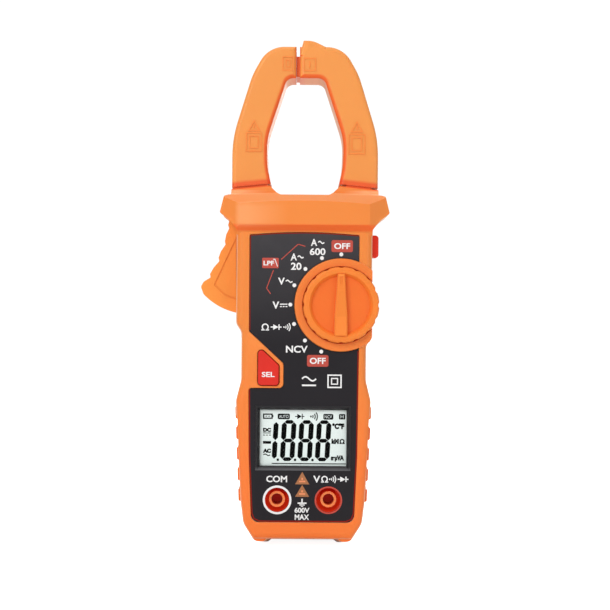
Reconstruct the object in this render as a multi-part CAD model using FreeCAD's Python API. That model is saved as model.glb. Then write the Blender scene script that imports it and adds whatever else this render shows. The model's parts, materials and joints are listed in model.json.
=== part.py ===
import FreeCAD, Part
import math
import os

# Clamp meter: an insulated handheld meter with a hinged current clamp, as an assembly of separate pieces.
#
# Frame: millimetres, +Z up along the meter, front face towards -Y, +X to the right of someone reading it.
# It stands on its two feet. The origin is at the bottom, in the middle of the bounding box.
# All sizes below are about the case's own centreline; export() shifts every piece to the origin.

V = FreeCAD.Vector

# ---------------------------------------------------------------- driving dimensions
# depth levels, front to back
KNOB_FRONT_Y = -19.0
FACE_Y = -15.0
BAND_Y = -17.2
PANEL_Y = -14.7
PANEL_THICK = 0.7
PARTING_Y = 2.0
REAR_Y = 19.0
WALL = 2.0
FACE_WALL_Y = FACE_Y + 2.4

# widths and heights of the case
GRIP_HALF = 24.8
WAIST_HALF = 23.1
UPPER_HALF = 25.1
WING_HALF = 31.5
FOOT_LIFT = 1.0
SADDLE_Z = 130.6
COLLAR_OUT_Z = 132.8
COLLAR_IN_Z = 134.3
TOP_Z = 189.0

# jaws
JAW_Y0, JAW_Y1 = -7.0, 11.0
JAW_WALL = 1.9
TENON_Y0, TENON_Y1 = -6.4, 9.0
JAW_OUT, JAW_IN = 27.4, 13.4
JAW_FOOT_GAP = 0.95
MOVING_TIP_X, FIXED_TIP_X = -3.55, -2.25
JAW_TOP_Z, WINDOW_TOP_Z = 186.8, 175.0
CORE_Y0, CORE_Y1 = -2.0, 6.0
CORE_IN = 4.6
POLE_Z0, POLE_Z1 = 178.4, 183.2
KEEPER_Z0, KEEPER_Z1 = 121.6, 126.6
COIL_Z0, COIL_Z1 = 138.6, 150.6

# moving lever
PIVOT_X, PIVOT_Z = -20.5, 110.0
PIN_R = 2.0
BUSH_R = 3.4
HUB_R = 6.3
PEG_X, PEG_Z = PIVOT_X - 1.2, PIVOT_Z - 10.5
TRIGGER_R = 23.8
TRIGGER_TIP_X = -38.8
SLOT_Y0, SLOT_Y1 = -6.9, 9.5

# selector
KNOB_X, KNOB_Z = 13.6, 89.9
KNOB_R = 14.0
RING_R = 17.2
WELL_R = 14.3
WELL_FLOOR_Y = -13.2
SHAFT_R = 6.0
RUNNING = 0.06
POSITIONS = 16
DETENT_R = 9.85

# display
LCD_HALF = 16.0
LCD_Z0, LCD_Z1 = 30.3, 51.0
GLASS_HALF, GLASS_Z0, GLASS_Z1 = 18.6, 27.6, 53.6

# sockets, on the standard 19 mm spacing for 4 mm plugs
SOCKET_X, SOCKET_Z = 9.5, 17.9
PLUG_R = 2.0
SOCKET_CUP_R = 4.45
SOCKET_POST_R = 2.95
SOCKET_DEPTH = 22.0
POST_SET_BACK, POST_MOUTH = 2.2, 7.5

# circuit board
BOARD_Y0, BOARD_Y1 = -8.6, -7.0
BOARD_HALF, BOARD_Z0, BOARD_Z1 = 21.0, 25.8, 115.4

# batteries: two AAA cells side by side
CELL_R, CELL_LENGTH = 5.15, 44.5
CELL_X, CELL_Y, CELL_Z0 = 5.6, 11.2, 29.4
BAY_HALF, BAY_Z0, BAY_Z1 = 12.4, 26.6, 77.6
BAY_FLOOR_Y = 5.6
COVER_HALF, COVER_Z0, COVER_Z1 = 15.0, 18.6, 82.4
COVER_THICK = 2.0

# fasteners: (x, z) seen from the front
CASE_SCREWS = [(-19.2, 20.0), (19.2, 20.0), (-19.2, 79.2), (18.8, 70.6), (1.5, 116.6)]
BOARD_SCREWS = [(-19.0, 57.2), (19.0, 57.2), (-5.0, 112.0)]
COVER_SCREW = (0.0, 21.6)
SEL_PLACE = (-12.9, 65.6)

# jaw return spring, coiled round the rear boss
SPRING_R, SPRING_WIRE_R = 3.45, 0.42
SPRING_Y0, SPRING_TURNS, SPRING_PITCH = 10.4, 3.0, 1.25

CENTRE_SHIFT = (TRIGGER_TIP_X + WING_HALF) / -2
OUT = "parts"


# ---------------------------------------------------------------- helpers
def wire(points, y=0.0):
    """Closed wire at depth y through (x, z) corners; a third value rounds that corner."""
    flat = [(V(p[0], y, p[1]), p[2] if len(p) > 2 else 0.0) for p in points]
    corners = []
    for i, (p, r) in enumerate(flat):
        a = (flat[i - 1][0] - p).normalize()
        b = (flat[(i + 1) % len(flat)][0] - p).normalize()
        half = a.getAngle(b) / 2
        if r <= 0 or abs(half - math.pi / 2) < 1e-4:
            corners.append((p, None, p))
            continue
        reach = r / math.tan(half)
        middle = p + (a + b).normalize() * (r / math.sin(half) - r)
        corners.append((p + a * reach, middle, p + b * reach))
    edges = []
    for i, (start, middle, end) in enumerate(corners):
        if middle is not None:
            edges.append(Part.Arc(start, middle, end).toShape())
        following = corners[(i + 1) % len(corners)][0]
        if end.distanceToPoint(following) > 1e-6:
            edges.append(Part.makeLine(end, following))
    return Part.Wire(edges)


def prism(points, y0, y1):
    """Solid between depths y0 and y1 over an outline of (x, z[, radius]) corners."""
    return Part.Face(wire(points, y0)).extrude(V(0, y1 - y0, 0))


def mirrored(points):
    """The right half of an outline, listed upwards, closed with its own mirror image."""
    left = [(-p[0],) + tuple(p[1:]) for p in reversed(points)]
    return list(points) + left


def flipped(points):
    return [(-p[0],) + tuple(p[1:]) for p in reversed(points)]


def block(x0, x1, y0, y1, z0, z1):
    return Part.makeBox(x1 - x0, y1 - y0, z1 - z0, V(x0, y0, z0))


def rod(x, z, r, y0, y1):
    """Cylinder along Y."""
    return Part.makeCylinder(r, y1 - y0, V(x, y0, z), V(0, 1, 0))


def tube(x, z, r_out, r_in, y0, y1):
    return rod(x, z, r_out, y0, y1).cut(rod(x, z, r_in, y0 - 1, y1 + 1))


def cone(x, z, r0, r1, y0, y1):
    return Part.makeCone(r0, r1, y1 - y0, V(x, y0, z), V(0, 1, 0))


def along_x(points, x0, x1):
    """Solid between x0 and x1 over a (y, z) outline."""
    corners = [V(x0, y, z) for y, z in points]
    return Part.Face(Part.makePolygon(corners + corners[:1])).extrude(V(x1 - x0, 0, 0))


def along_z(points, z0, z1):
    """Solid between z0 and z1 over an (x, y) outline."""
    corners = [V(x, y, z0) for x, y in points]
    return Part.Face(Part.makePolygon(corners + corners[:1])).extrude(V(0, 0, z1 - z0))


def joined(shapes):
    first, rest = shapes[0], shapes[1:]
    return first.fuse(rest).removeSplitter() if rest else first


def less(shape, *cuts):
    for c in cuts:
        shape = shape.cut(c)
    return shape


def edges_at(shape, y, inside=None):
    """Edges that lie at depth y, apart from those that the test inside() refuses."""
    found = []
    for e in shape.Edges:
        box = e.BoundBox
        if abs(box.YMin - y) < 1e-4 and abs(box.YMax - y) < 1e-4:
            if inside is None or inside(e):
                found.append(e)
    return found


def soften(shape, radius, edges):
    """Rounds the edges together, or one at a time where they can't all be rounded."""
    try:
        rounded = shape.makeFillet(radius, edges)
        if rounded.isValid() and rounded.Volume > 0:
            return rounded
    except Exception:
        pass
    done = 0
    keys = [e.CenterOfMass for e in edges]
    for key in keys:
        near = [e for e in shape.Edges if e.CenterOfMass.distanceToPoint(key) < 1e-3]
        if not near:
            continue
        try:
            rounded = shape.makeFillet(radius, near)
            if rounded.isValid() and rounded.Volume > 0:
                shape, done = rounded, done + 1
        except Exception:
            continue
    print("  rounded one by one:", done, "of", len(keys))
    return shape


def coil(x, z, radius, wire_r, y0, turns, pitch):
    """Round-wire helix about an axis along Y, starting at depth y0."""
    path = Part.makeHelix(pitch, pitch * turns, radius)
    profile = Part.Wire(Part.makeCircle(wire_r, V(radius, 0, 0), V(0, 1, 0)))
    solid = Part.Wire(path).makePipeShell([profile], True, True)
    solid.rotate(V(0, 0, 0), V(1, 0, 0), -90)
    solid.translate(V(x, y0, z))
    return solid


def export(name, shape):
    shape = shape.copy()
    shape.translate(V(CENTRE_SHIFT, 0, 0))
    solids = shape.Solids
    for s in solids:
        if not s.isValid() or s.Volume <= 0:
            print("  NOT SOUND:", name, s.Volume)
    body = solids[0] if len(solids) == 1 else Part.makeCompound(solids)
    body.exportStep(os.path.join(OUT, name + ".step"))
    print(f"{name:22s} solids {len(solids)}  volume {sum(s.Volume for s in solids):9.1f}")
    return body


# ---------------------------------------------------------------- case outline
CASE_HALF = [
    (16.9, FOOT_LIFT, 1.6),
    (22.0, 8.9, 6.0),
    (23.0, 17.0, 20.0),
    (GRIP_HALF, 48.0, 20.0),
    (GRIP_HALF + 0.2, 54.5, 6.0),
    (WAIST_HALF, 62.0, 8.0),
]
RIGHT_STEP = [(WAIST_HALF, 74.6, 3.2), (UPPER_HALF, 77.8, 3.2)]
LEFT_STEP = [(UPPER_HALF, 82.8, 3.2), (WAIST_HALF, 79.6, 3.2)]
UPPER_TOP_Z = 126.0


def case_outline():
    """Body below the shoulders: symmetrical but for the steps beside the selector and the trigger."""
    left = [(-x, z, r) for x, z, r in LEFT_STEP] + flipped(CASE_HALF)
    return CASE_HALF + RIGHT_STEP + [(UPPER_HALF, UPPER_TOP_Z, 0), (-UPPER_HALF, UPPER_TOP_Z, 0)] + left


SHOULDER_HALF = [
    (UPPER_HALF, 115.6, 0),
    (UPPER_HALF, 117.6, 1.2),
    (27.8, 121.0, 5.0),
    (WING_HALF, 123.9, 0.7),
    (29.9, 130.1, 0.7),
    (JAW_OUT + 0.1, 130.8, 0.3),
    (JAW_OUT, COLLAR_OUT_Z, 0.3),
    (JAW_IN - 0.2, COLLAR_IN_Z, 0.8),
    (9.4, SADDLE_Z, 2.4),
]

CAVITY_HALF = [
    (17.6, 3.2, 1.5),
    (20.3, 8.6, 3.0),
    (21.1, 16.5, 0),
    (GRIP_HALF - 2.3, 48.0, 8.0),
    (WAIST_HALF - 2.0, 60.0, 4.0),
    (WAIST_HALF - 2.0, 83.0, 0.8),
    (UPPER_HALF - 2.0, 85.0, 0.8),
    (UPPER_HALF - 2.0, 119.6, 0.5),
    (25.4, 121.6, 0.5),
    (25.4, 128.4, 0.5),
]
# the front half's underside rises towards the face, from this depth on
SLOPE_Y = -1.0
SLOPE = 0.19

# one foot, and how far it moves out for each millimetre it rises
FOOT_HALF = [
    (11.2, 3.0, 0),
    (11.6, 1.1, 0),
    (13.1, 0.0, 1.6),
    (16.2, 0.0, 2.6),
    (18.1, 3.0, 0),
]
FOOT_FLARE = 0.64


def under_slope(lift):
    """Wedge below the sloping underside of the front half, for cutting away."""
    rise = lift + SLOPE * (SLOPE_Y + 20)
    return along_x([(SLOPE_Y, -1.0), (SLOPE_Y, lift), (-20.0, rise), (-20.0, -1.0)], -40, 40)


def bevelled_block(low, high):
    """Solid that widens from a front outline to a back one; each is (y, half width, z0, z1, arch)."""
    wires = []
    for y, half, z0, z1, arch in (low, high):
        a, b, c, d = (V(x, y, z) for x, z in ((-half, z0), (half, z0), (half, z1), (-half, z1)))
        top = Part.Arc(c, V(0, y, z1 + arch), d).toShape()
        wires.append(Part.Wire([Part.makeLine(a, b), Part.makeLine(b, c), top, Part.makeLine(d, a)]))
    return Part.makeLoft(wires, True, True)


def shoulder(front):
    """One half of the hand guard: its outline, cut to its bevelled front or back profile."""
    y0, y1 = (BAND_Y, PARTING_Y) if front else (PARTING_Y, REAR_Y)
    full = prism(mirrored(SHOULDER_HALF), y0 - 0.1, y1 + 0.1)
    if front:
        back_y = -12.4
        side = [(PARTING_Y, 115.0), (back_y, 115.0), (back_y, 130.3)]
        side += [(-9.4, 131.1), (-8.9, 136.0), (PARTING_Y, 136.0)]
        plan = [(-40, PARTING_Y), (-40, -7.2), (-31.7, back_y), (0, back_y)]
        band = bevelled_block((BAND_Y, 23.9, 119.2, 126.9, 1.2), (back_y, 31.7, 113.4, 130.3, 1.2))
    else:
        side = [(PARTING_Y, 115.0), (REAR_Y, 115.0), (REAR_Y, 126.6)]
        side += [(17.6, 129.9), (15.6, 131.3), (12.8, 133.4), (12.2, 136.0), (PARTING_Y, 136.0)]
        plan = [(-40, PARTING_Y), (-40, 9.5), (-24.0, REAR_Y), (0, REAR_Y)]
    plan = plan + [(-x, y) for x, y in reversed(plan) if x < 0]
    guard = full.common(along_x(side, -40, 40)).common(along_z(plan, 115, 137))
    return joined([guard, band.common(full)]) if front else guard


def front_feet():
    """Two rounded feet that rise with the sloping underside and keep in line with its corners."""
    y0 = FACE_Y + 2.0
    rise = SLOPE * (SLOPE_Y - y0)
    shift = rise * FOOT_FLARE
    feet = []
    for foot, side in ((FOOT_HALF, 1), (flipped(FOOT_HALF), -1)):
        lifted = [(x + side * shift, z + rise, r) for x, z, r in foot]
        feet.append(Part.Face(wire(lifted, y0)).extrude(V(-side * shift, SLOPE_Y - y0, -rise)))
    return feet + straight_feet(SLOPE_Y, PARTING_Y)


def straight_feet(y0, y1):
    return [prism(foot, y0, y1) for foot in (FOOT_HALF, flipped(FOOT_HALF))]


def grip_ribs(y0, y1):
    """Five short ribs down each side of the lower grip."""
    ribs = []
    for i in range(5):
        z = 16.4 + 7.65 * i
        reach = 23.85 + 0.043 * (z - 16.4)
        rib = [(20.0, z, 0), (reach, z + 0.5, 0.6), (reach + 0.15, z + 5.1, 0.6), (20.0, z + 5.6, 0)]
        ribs += [prism(rib, y0, y1), prism(flipped(rib), y0, y1)]
    return ribs


def grip_scoops(y0, y1):
    """Shallow hollows in the sides, in which the ribs stand."""
    scoop = [(23.1, 16.6, 0.6), (24.3, 47.4, 1.5), (25.7, 52.4, 0), (30, 53.0, 0), (30, 15.5, 0)]
    return [prism(scoop, y0, y1), prism(flipped(scoop), y0, y1)]


def trigger_slot():
    """Room in the left side and top for the lever, open from the trigger's lowest point to the jaw."""
    sector = rod(PIVOT_X, PIVOT_Z, TRIGGER_R + 0.7, SLOT_Y0, SLOT_Y1)
    low = sector.common(block(-45, -9.5, SLOT_Y0, SLOT_Y1, 80, 112))
    high = block(-45, -13.6, SLOT_Y0, SLOT_Y1, 108, 138)
    return low.fuse(high)


def fixed_root(clear=0.0):
    """Root by which the fixed jaw is held in the shoulder; with clearance it cuts its own socket."""
    inner, low, outer = 15.4 - clear, 22.8 + clear, 25.0 + clear
    outline = [(inner, 117.4 - clear), (low, 117.4 - clear), (outer, 122.4), (outer, 136.6), (inner, 136.9)]
    return prism(outline, TENON_Y0 - clear, TENON_Y1 + clear)


def side_wall_cut_for_hold():
    return block(20, 30, -8.9, -1.1, 107.2, 116.4)


# ---------------------------------------------------------------- case pieces
PANEL_OUTLINE = [
    (18.8, 9.8, 2.8),
    (19.8, 34.0, 60.0),
    (20.2, 74.0, 0),
    (20.1, 115.6, 0.5),
    (-20.1, 115.6, 0.5),
    (-20.1, 80.0, 1.2),
    (-7.3, 68.2, 2.2),
    (-7.3, 59.0, 1.8),
    (-20.1, 59.0, 1.0),
    (-19.8, 34.0, 60.0),
    (-18.8, 9.8, 2.8),
]
SEL_OUTLINE = [(-9.1, 60.1, 1.3), (-9.1, 67.5, 0.9), (-15.0, 73.0, 1.3)]
SEL_OUTLINE += [(-16.8, 73.0, 1.2), (-16.8, 60.1, 1.3)]
TOP_BOW = 0.9


def grown(points, by, y0, y1):
    """Prism over an outline offset outwards (or inwards, if by is negative)."""
    face = Part.Face(wire(points, y0))
    return face.makeOffset2D(by).extrude(V(0, y1 - y0, 0))


def bowed_top(y0, y1):
    """Segment that gives the panel its slightly arched top edge."""
    a, b = V(-20.05, y0, 115.5), V(20.05, y0, 115.5)
    arc = Part.Arc(a, V(0, y0, 115.6 + TOP_BOW), b).toShape()
    return Part.Face(Part.Wire([arc, Part.makeLine(b, a)])).extrude(V(0, y1 - y0, 0))


def panel_blank(by, y0, y1):
    """The face panel's plate, before its windows; by sets the recess's clearance."""
    plate = grown(PANEL_OUTLINE, by, y0, y1) if by else prism(PANEL_OUTLINE, y0, y1)
    bow = bowed_top(y0, y1)
    bow.translate(V(0, 0, by))
    return plate.fuse(bow).removeSplitter().cut(rod(KNOB_X, KNOB_Z, RING_R + 0.1 - by, y0 - 1, y1 + 1))


def window(grow, y0, y1):
    a = LCD_HALF + grow
    return block(-a, a, y0, y1, LCD_Z0 - grow, LCD_Z1 + grow)


def detent_ring(y0, y1):
    """Notched ring that the detent balls ride in, one notch for each possible position."""
    ring = tube(KNOB_X, KNOB_Z, 11.2, DETENT_R, y0, y1)
    for i in range(POSITIONS):
        a = 2 * math.pi * i / POSITIONS
        ring = ring.cut(rod(KNOB_X + DETENT_R * math.cos(a), KNOB_Z + DETENT_R * math.sin(a), 0.6, y0, y1))
    return ring


def front_case():
    body = prism(case_outline(), FACE_Y, PARTING_Y).cut(under_slope(FOOT_LIFT))
    body = soften(body, 2.6, edges_at(body, FACE_Y, lambda e: e.BoundBox.ZMin < UPPER_TOP_Z - 0.01))
    body = less(body, *grip_scoops(FACE_Y - 1.0, PARTING_Y))
    ring = rod(KNOB_X, KNOB_Z, RING_R, FACE_Y - 0.8, FACE_Y + 4)
    ring = soften(ring, 0.5, edges_at(ring, FACE_Y - 0.8)).common(prism(case_outline(), -20, 5))
    ribs = grip_ribs(FACE_Y + 4.0, PARTING_Y)
    shell = joined([body, shoulder(True), ring] + front_feet() + ribs)
    shell = less(
        shell,
        prism(mirrored(CAVITY_HALF), FACE_WALL_Y, PARTING_Y + 1).cut(under_slope(CAVITY_HALF[0][1])),
        trigger_slot(),
        fixed_root(0.05),
        side_wall_cut_for_hold(),
        panel_blank(0.2, -20, PANEL_Y + PANEL_THICK),
        window(1.6, -20, FACE_WALL_Y + 1),
        grown(SEL_OUTLINE, 0.3, -20, FACE_WALL_Y + 1),
    )
    posts = [tube(x, z, 2.9, 1.1, FACE_WALL_Y - 0.5, PARTING_Y) for x, z in CASE_SCREWS]
    posts += [tube(x, z, 2.2, 0.75, FACE_WALL_Y - 0.5, BOARD_Y0) for x, z in BOARD_SCREWS]
    floor = rod(KNOB_X, KNOB_Z, WELL_R + 1.4, WELL_FLOOR_Y - 1, WELL_FLOOR_Y + 1.8)
    floor = floor.common(block(-30, UPPER_HALF, -20, 5, 60, 125))
    boss = tube(PIVOT_X, PIVOT_Z, 4.2, PIN_R, FACE_WALL_Y - 0.5, TENON_Y0 - 0.4)
    keeper = [block(x, x + 2, FACE_WALL_Y - 0.5, CORE_Y0, 118.5, 128.6) for x in (-8, 6)]
    shell = joined([shell, floor, boss, detent_ring(WELL_FLOOR_Y + 1.8, -9.8)] + posts + keeper)
    return less(
        shell,
        rod(KNOB_X, KNOB_Z, WELL_R, -25, WELL_FLOOR_Y),
        rod(KNOB_X, KNOB_Z, SHAFT_R + RUNNING, -20, -5),
        rod(KNOB_X, KNOB_Z, DETENT_R, WELL_FLOOR_Y + 1.8, -9.7),
        *[rod(sx, SOCKET_Z, 5.5, -20, PARTING_Y) for sx in (-SOCKET_X, SOCKET_X)],
        *[rod(x, z, 1.1, FACE_WALL_Y + 0.6, PARTING_Y + 1) for x, z in CASE_SCREWS],
    )


def rear_case():
    body = prism(case_outline(), PARTING_Y, REAR_Y)
    body = soften(body, 4.2, edges_at(body, REAR_Y, lambda e: e.BoundBox.ZMin < UPPER_TOP_Z - 0.01))
    body = less(body, *grip_scoops(PARTING_Y, REAR_Y - 5.0))
    ribs = grip_ribs(PARTING_Y, REAR_Y - 6.0)
    shell = joined([body, shoulder(False)] + straight_feet(PARTING_Y, REAR_Y - 3.4) + ribs)
    shell = less(
        shell,
        prism(mirrored(CAVITY_HALF), PARTING_Y - 1, REAR_Y - WALL),
        trigger_slot(),
        fixed_root(0.05),
        rod(PIVOT_X, PIVOT_Z, SPRING_R + SPRING_WIRE_R + 0.2, SLOT_Y1 - 1, REAR_Y - WALL),
    )
    tray = block(-BAY_HALF - 1.3, BAY_HALF + 1.3, BAY_FLOOR_Y - 1.4, REAR_Y - 1, BAY_Z0 - 1.3, BAY_Z1 + 1.3)
    edge = 1.8
    rim = block(
        -COVER_HALF - edge, COVER_HALF + edge, 15.2, REAR_Y - 1, COVER_Z0 - edge, COVER_Z1 + edge
    ).common(prism(case_outline(), 0, REAR_Y))
    posts = [rod(x, z, 3.0, PARTING_Y, REAR_Y - 1) for x, z in CASE_SCREWS]
    posts += [rod(x, z, 3.9, 8.6, REAR_Y - 1) for x, z in CASE_SCREWS]
    cover_boss = rod(*COVER_SCREW, 2.9, 8.0, REAR_Y - 1)
    boss = tube(PIVOT_X, PIVOT_Z, 2.85, PIN_R, TENON_Y1 + 0.5, REAR_Y - 1)
    tail_rest = block(-10.0, -8.2, 9.8, REAR_Y - 1, 96.0, 104.0)
    keeper = [block(x, x + 2, CORE_Y1, REAR_Y - 1, 118.5, 128.6) for x in (-8, 6)]
    shell = joined([shell, tray, rim, cover_boss, boss, tail_rest] + posts + keeper)
    cuts = [block(-BAY_HALF, BAY_HALF, BAY_FLOOR_Y, REAR_Y + 1, BAY_Z0, BAY_Z1), cover_plate(0.15)]
    cuts += [rod(*COVER_SCREW, 0.9, 9.0, REAR_Y + 1)]
    for x, z in CASE_SCREWS:
        cuts += [rod(x, z, 1.4, PARTING_Y - 1, REAR_Y), rod(x, z, 2.7, 10.0, REAR_Y + 1)]
    cuts += [rod(PIVOT_X, PIVOT_Z, PIN_R, TENON_Y1, 16.0)]
    return less(shell, *cuts)


def cover_plate(clear):
    """Plain plate of the battery cover; with clearance it cuts the cover's seat."""
    h = COVER_HALF + clear
    outline = mirrored([(h, COVER_Z0 - clear, 2.5), (h, COVER_Z1 + clear, 2.5)])
    return prism(outline, REAR_Y - COVER_THICK - clear, REAR_Y + (1 if clear else 0))


def battery_cover():
    plate = cover_plate(0)
    plate = soften(plate, 0.5, edges_at(plate, REAR_Y))
    hole, head = rod(*COVER_SCREW, 1.3, 0, 30), rod(*COVER_SCREW, 2.6, REAR_Y - 1.2, 30)
    ribs = [block(-8, 8, REAR_Y - 0.3, REAR_Y + 0.0, z, z + 1.2) for z in (71.0, 73.4, 75.8)]
    rails = [block(x - 0.6, x + 0.6, 16.5, REAR_Y - 1, 30, 74) for x in (-11.6, 0.0, 11.6)]
    return less(joined([plate] + rails), *ribs, hole, head)


def face_panel():
    plate = panel_blank(0, PANEL_Y, PANEL_Y + PANEL_THICK)
    sockets = [rod(sx, SOCKET_Z, SOCKET_CUP_R + 0.05, -20, 0) for sx in (-SOCKET_X, SOCKET_X)]
    return less(plate, window(1.6, -20, 0), *sockets)


def display_bezel():
    """Bevelled dark frame that leads down to the lens, deeper along its bottom edge."""
    frame = window(1.55, PANEL_Y, -12.3)
    back = wire([(-LCD_HALF, LCD_Z0), (LCD_HALF, LCD_Z0), (LCD_HALF, LCD_Z1), (-LCD_HALF, LCD_Z1)], -13.4)
    a = LCD_HALF + 0.9
    z0, z1 = LCD_Z0 - 1.5, LCD_Z1 + 0.9
    front = wire([(-a, z0), (a, z0), (a, z1), (-a, z1)], PANEL_Y - 0.01)
    funnel = Part.makeLoft([front, back], True, True)
    return less(frame, funnel, window(0.0, -13.5, -12.9), window(0.7, -12.95, -12.0))


# ---------------------------------------------------------------- display stack
def display_lens():
    return window(0.65, -12.95, -12.35)


def lcd_glass():
    upper = block(-GLASS_HALF, GLASS_HALF, -12.25, -11.45, GLASS_Z0, GLASS_Z1 - 1.6)
    lower = block(-GLASS_HALF, GLASS_HALF, -11.45, -10.65, GLASS_Z0, GLASS_Z1)
    return joined([upper, lower])


def lcd_backlight():
    return block(-GLASS_HALF + 0.6, GLASS_HALF - 0.6, -10.65, -9.3, GLASS_Z0 + 0.6, GLASS_Z1 - 2.4)


def lcd_frame():
    outer = block(-GLASS_HALF - 1.2, GLASS_HALF + 1.2, -11.6, BOARD_Y0, GLASS_Z0 - 1.2, GLASS_Z1 + 1.2)
    inner = block(-GLASS_HALF, GLASS_HALF, -12, -10.65, GLASS_Z0, GLASS_Z1)
    light = block(-GLASS_HALF + 0.6, GLASS_HALF - 0.6, -11, BOARD_Y0 + 1, GLASS_Z0 + 0.6, GLASS_Z1 - 2.4)
    strips = block(-15.2, 15.2, -11, BOARD_Y0 + 1, GLASS_Z1 - 2.0, GLASS_Z1 - 0.2)
    return less(outer, inner, light, strips)


def zebra_strip():
    return block(-15, 15, -10.65, BOARD_Y0, GLASS_Z1 - 1.9, GLASS_Z1 - 0.3)


# ---------------------------------------------------------------- board and what it carries
def main_board():
    board = prism(mirrored([(BOARD_HALF, BOARD_Z0, 1), (BOARD_HALF, BOARD_Z1, 1)]), BOARD_Y0, BOARD_Y1)
    cuts = [rod(x, z, 3.3, -20, 0) for x, z in CASE_SCREWS]
    cuts += [rod(x, z, 0.95, -20, 0) for x, z in BOARD_SCREWS]
    cuts += [rod(PIVOT_X, PIVOT_Z, 4.6, -20, 0), rod(KNOB_X, KNOB_Z, 1.6, -20, 0)]
    return less(board, *cuts)


def selector_tracks():
    """Gilded contact rings that the wipers run on."""
    rings = [tube(KNOB_X, KNOB_Z, r + 0.45, r - 0.45, BOARD_Y0 - 0.04, BOARD_Y0) for r in (3.6, 5.6, 7.6)]
    return Part.makeCompound(rings)


def main_chip():
    body = block(-6, 6, BOARD_Y1, BOARD_Y1 + 1.5, 58, 70)
    pins = []
    for i in range(12):
        s = -5.2 + i * 0.95
        pins += [block(s, s + 0.35, BOARD_Y1, BOARD_Y1 + 0.5, 56.8, 71.2)]
        pins += [block(-7.2, 7.2, BOARD_Y1, BOARD_Y1 + 0.5, 64 + s, 64.35 + s)]
    return joined([body] + pins)


def buzzer():
    can = tube(4.0, 103.0, 6.0, 0.9, BOARD_Y1, BOARD_Y1 + 3.6)
    return joined([can, rod(4.0, 103.0, 5.8, BOARD_Y1, BOARD_Y1 + 1.2)])


def input_thermistor():
    disc = Part.makeCylinder(3.6, 2.4, V(10.8, BOARD_Y1 + 4.4, 40.0), V(1, 0, 0))
    legs = [block(11.7, 12.3, BOARD_Y1, BOARD_Y1 + 2.0, z, z + 0.6) for z in (38.0, 41.4)]
    return joined([disc] + legs)


def ncv_antenna():
    strip = block(8.6, 14.6, -10.9, -10.5, 113.2, 127.8)
    foot = block(8.6, 14.6, -10.9, BOARD_Y0, 113.2, 113.6)
    return joined([strip, foot])


def board_screws():
    screws = []
    for x, z in BOARD_SCREWS:
        screws.append(screw(x, z, 1.7, 0.72, BOARD_Y1, BOARD_Y1 + 1.0, BOARD_Y0 - 2.6))
    return Part.makeCompound(screws)


def screw(x, z, head_r, shank_r, head_y0, head_y1, tip_y):
    """Cross-head screw along Y: its head between two depths and its shank to tip_y."""
    head = rod(x, z, head_r, head_y0, head_y1)
    shank = rod(x, z, shank_r, min(tip_y, head_y0), max(tip_y, head_y0))
    top, depth = (head_y1, -0.7) if tip_y < head_y0 else (head_y0, 0.7)
    w = head_r * 0.16
    y0, y1 = min(top, top + depth), max(top, top + depth)
    arm = head_r * 0.62
    cross = [block(x - arm, x + arm, y0, y1, z - w, z + w), block(x - w, x + w, y0, y1, z - arm, z + arm)]
    return less(joined([head, shank]), *cross)


def case_screws():
    return Part.makeCompound([screw(x, z, 2.5, 1.08, 10.0, 11.4, -7.0) for x, z in CASE_SCREWS])


def cover_screw():
    return screw(*COVER_SCREW, 2.5, 0.85, REAR_Y - 1.2, REAR_Y - 0.2, 10.0)


# ---------------------------------------------------------------- sockets
def socket_cup(x):
    """Shroud that the plug's sleeve goes into, closed at its back."""
    y0 = PANEL_Y + PANEL_THICK
    cup = rod(x, SOCKET_Z, 5.45, y0, FACE_Y + SOCKET_DEPTH)
    flange = rod(x, SOCKET_Z, 6.6, FACE_WALL_Y, FACE_WALL_Y + 1.2)
    cavity = rod(x, SOCKET_Z, SOCKET_CUP_R, y0 - 1, FACE_Y + SOCKET_DEPTH - 3)
    return less(joined([cup, flange]), cavity, rod(x, SOCKET_Z, SOCKET_POST_R, -20, 20))


def socket_post(x):
    """Insulating sleeve round the contact."""
    y0 = PANEL_Y + POST_SET_BACK
    post = tube(x, SOCKET_Z, SOCKET_POST_R, PLUG_R + 0.5, y0, FACE_Y + SOCKET_DEPTH)
    mouth = tube(x, SOCKET_Z, SOCKET_POST_R, PLUG_R + 0.1, y0, y0 + POST_MOUTH)
    return joined([post, mouth])


def socket_contact(x):
    """Brass tube, closed at its back."""
    y0 = PANEL_Y + POST_SET_BACK + POST_MOUTH
    y1 = FACE_Y + SOCKET_DEPTH
    barrel = tube(x, SOCKET_Z, PLUG_R + 0.5, PLUG_R, y0, y1 + 1.2)
    plug = rod(x, SOCKET_Z, PLUG_R + 0.5, y1 + 0.2, y1 + 1.4)
    return joined([barrel, plug])


def socket_strap(x):
    """Bent strap from the back of the contact to the board."""
    y1 = FACE_Y + SOCKET_DEPTH
    rise = block(x - 1.5, x + 1.5, y1 + 1.4, y1 + 1.9, SOCKET_Z - 1.5, 24.7)
    run = block(x - 1.5, x + 1.5, BOARD_Y1, y1 + 1.9, 24.2, 24.7)
    lug = block(x - 1.5, x + 1.5, BOARD_Y1, BOARD_Y1 + 0.5, 24.2, 28.0)
    return joined([rise, run, lug])


# ---------------------------------------------------------------- selector
def knob_handle():
    """Finger bar across the knob, narrow at its pointing end and rounded along its back."""
    right = [(2.45, -11.5, 0.6), (2.35, -4.0, 12.0), (1.75, 5.0, 14.0), (1.4, 11.5, 0.5)]
    outline = [(KNOB_X + x, KNOB_Z + z, r) for x, z, r in mirrored(right)]
    bar = prism(outline, KNOB_FRONT_Y, WELL_FLOOR_Y - 1)
    return soften(bar, 0.7, edges_at(bar, KNOB_FRONT_Y))


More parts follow.
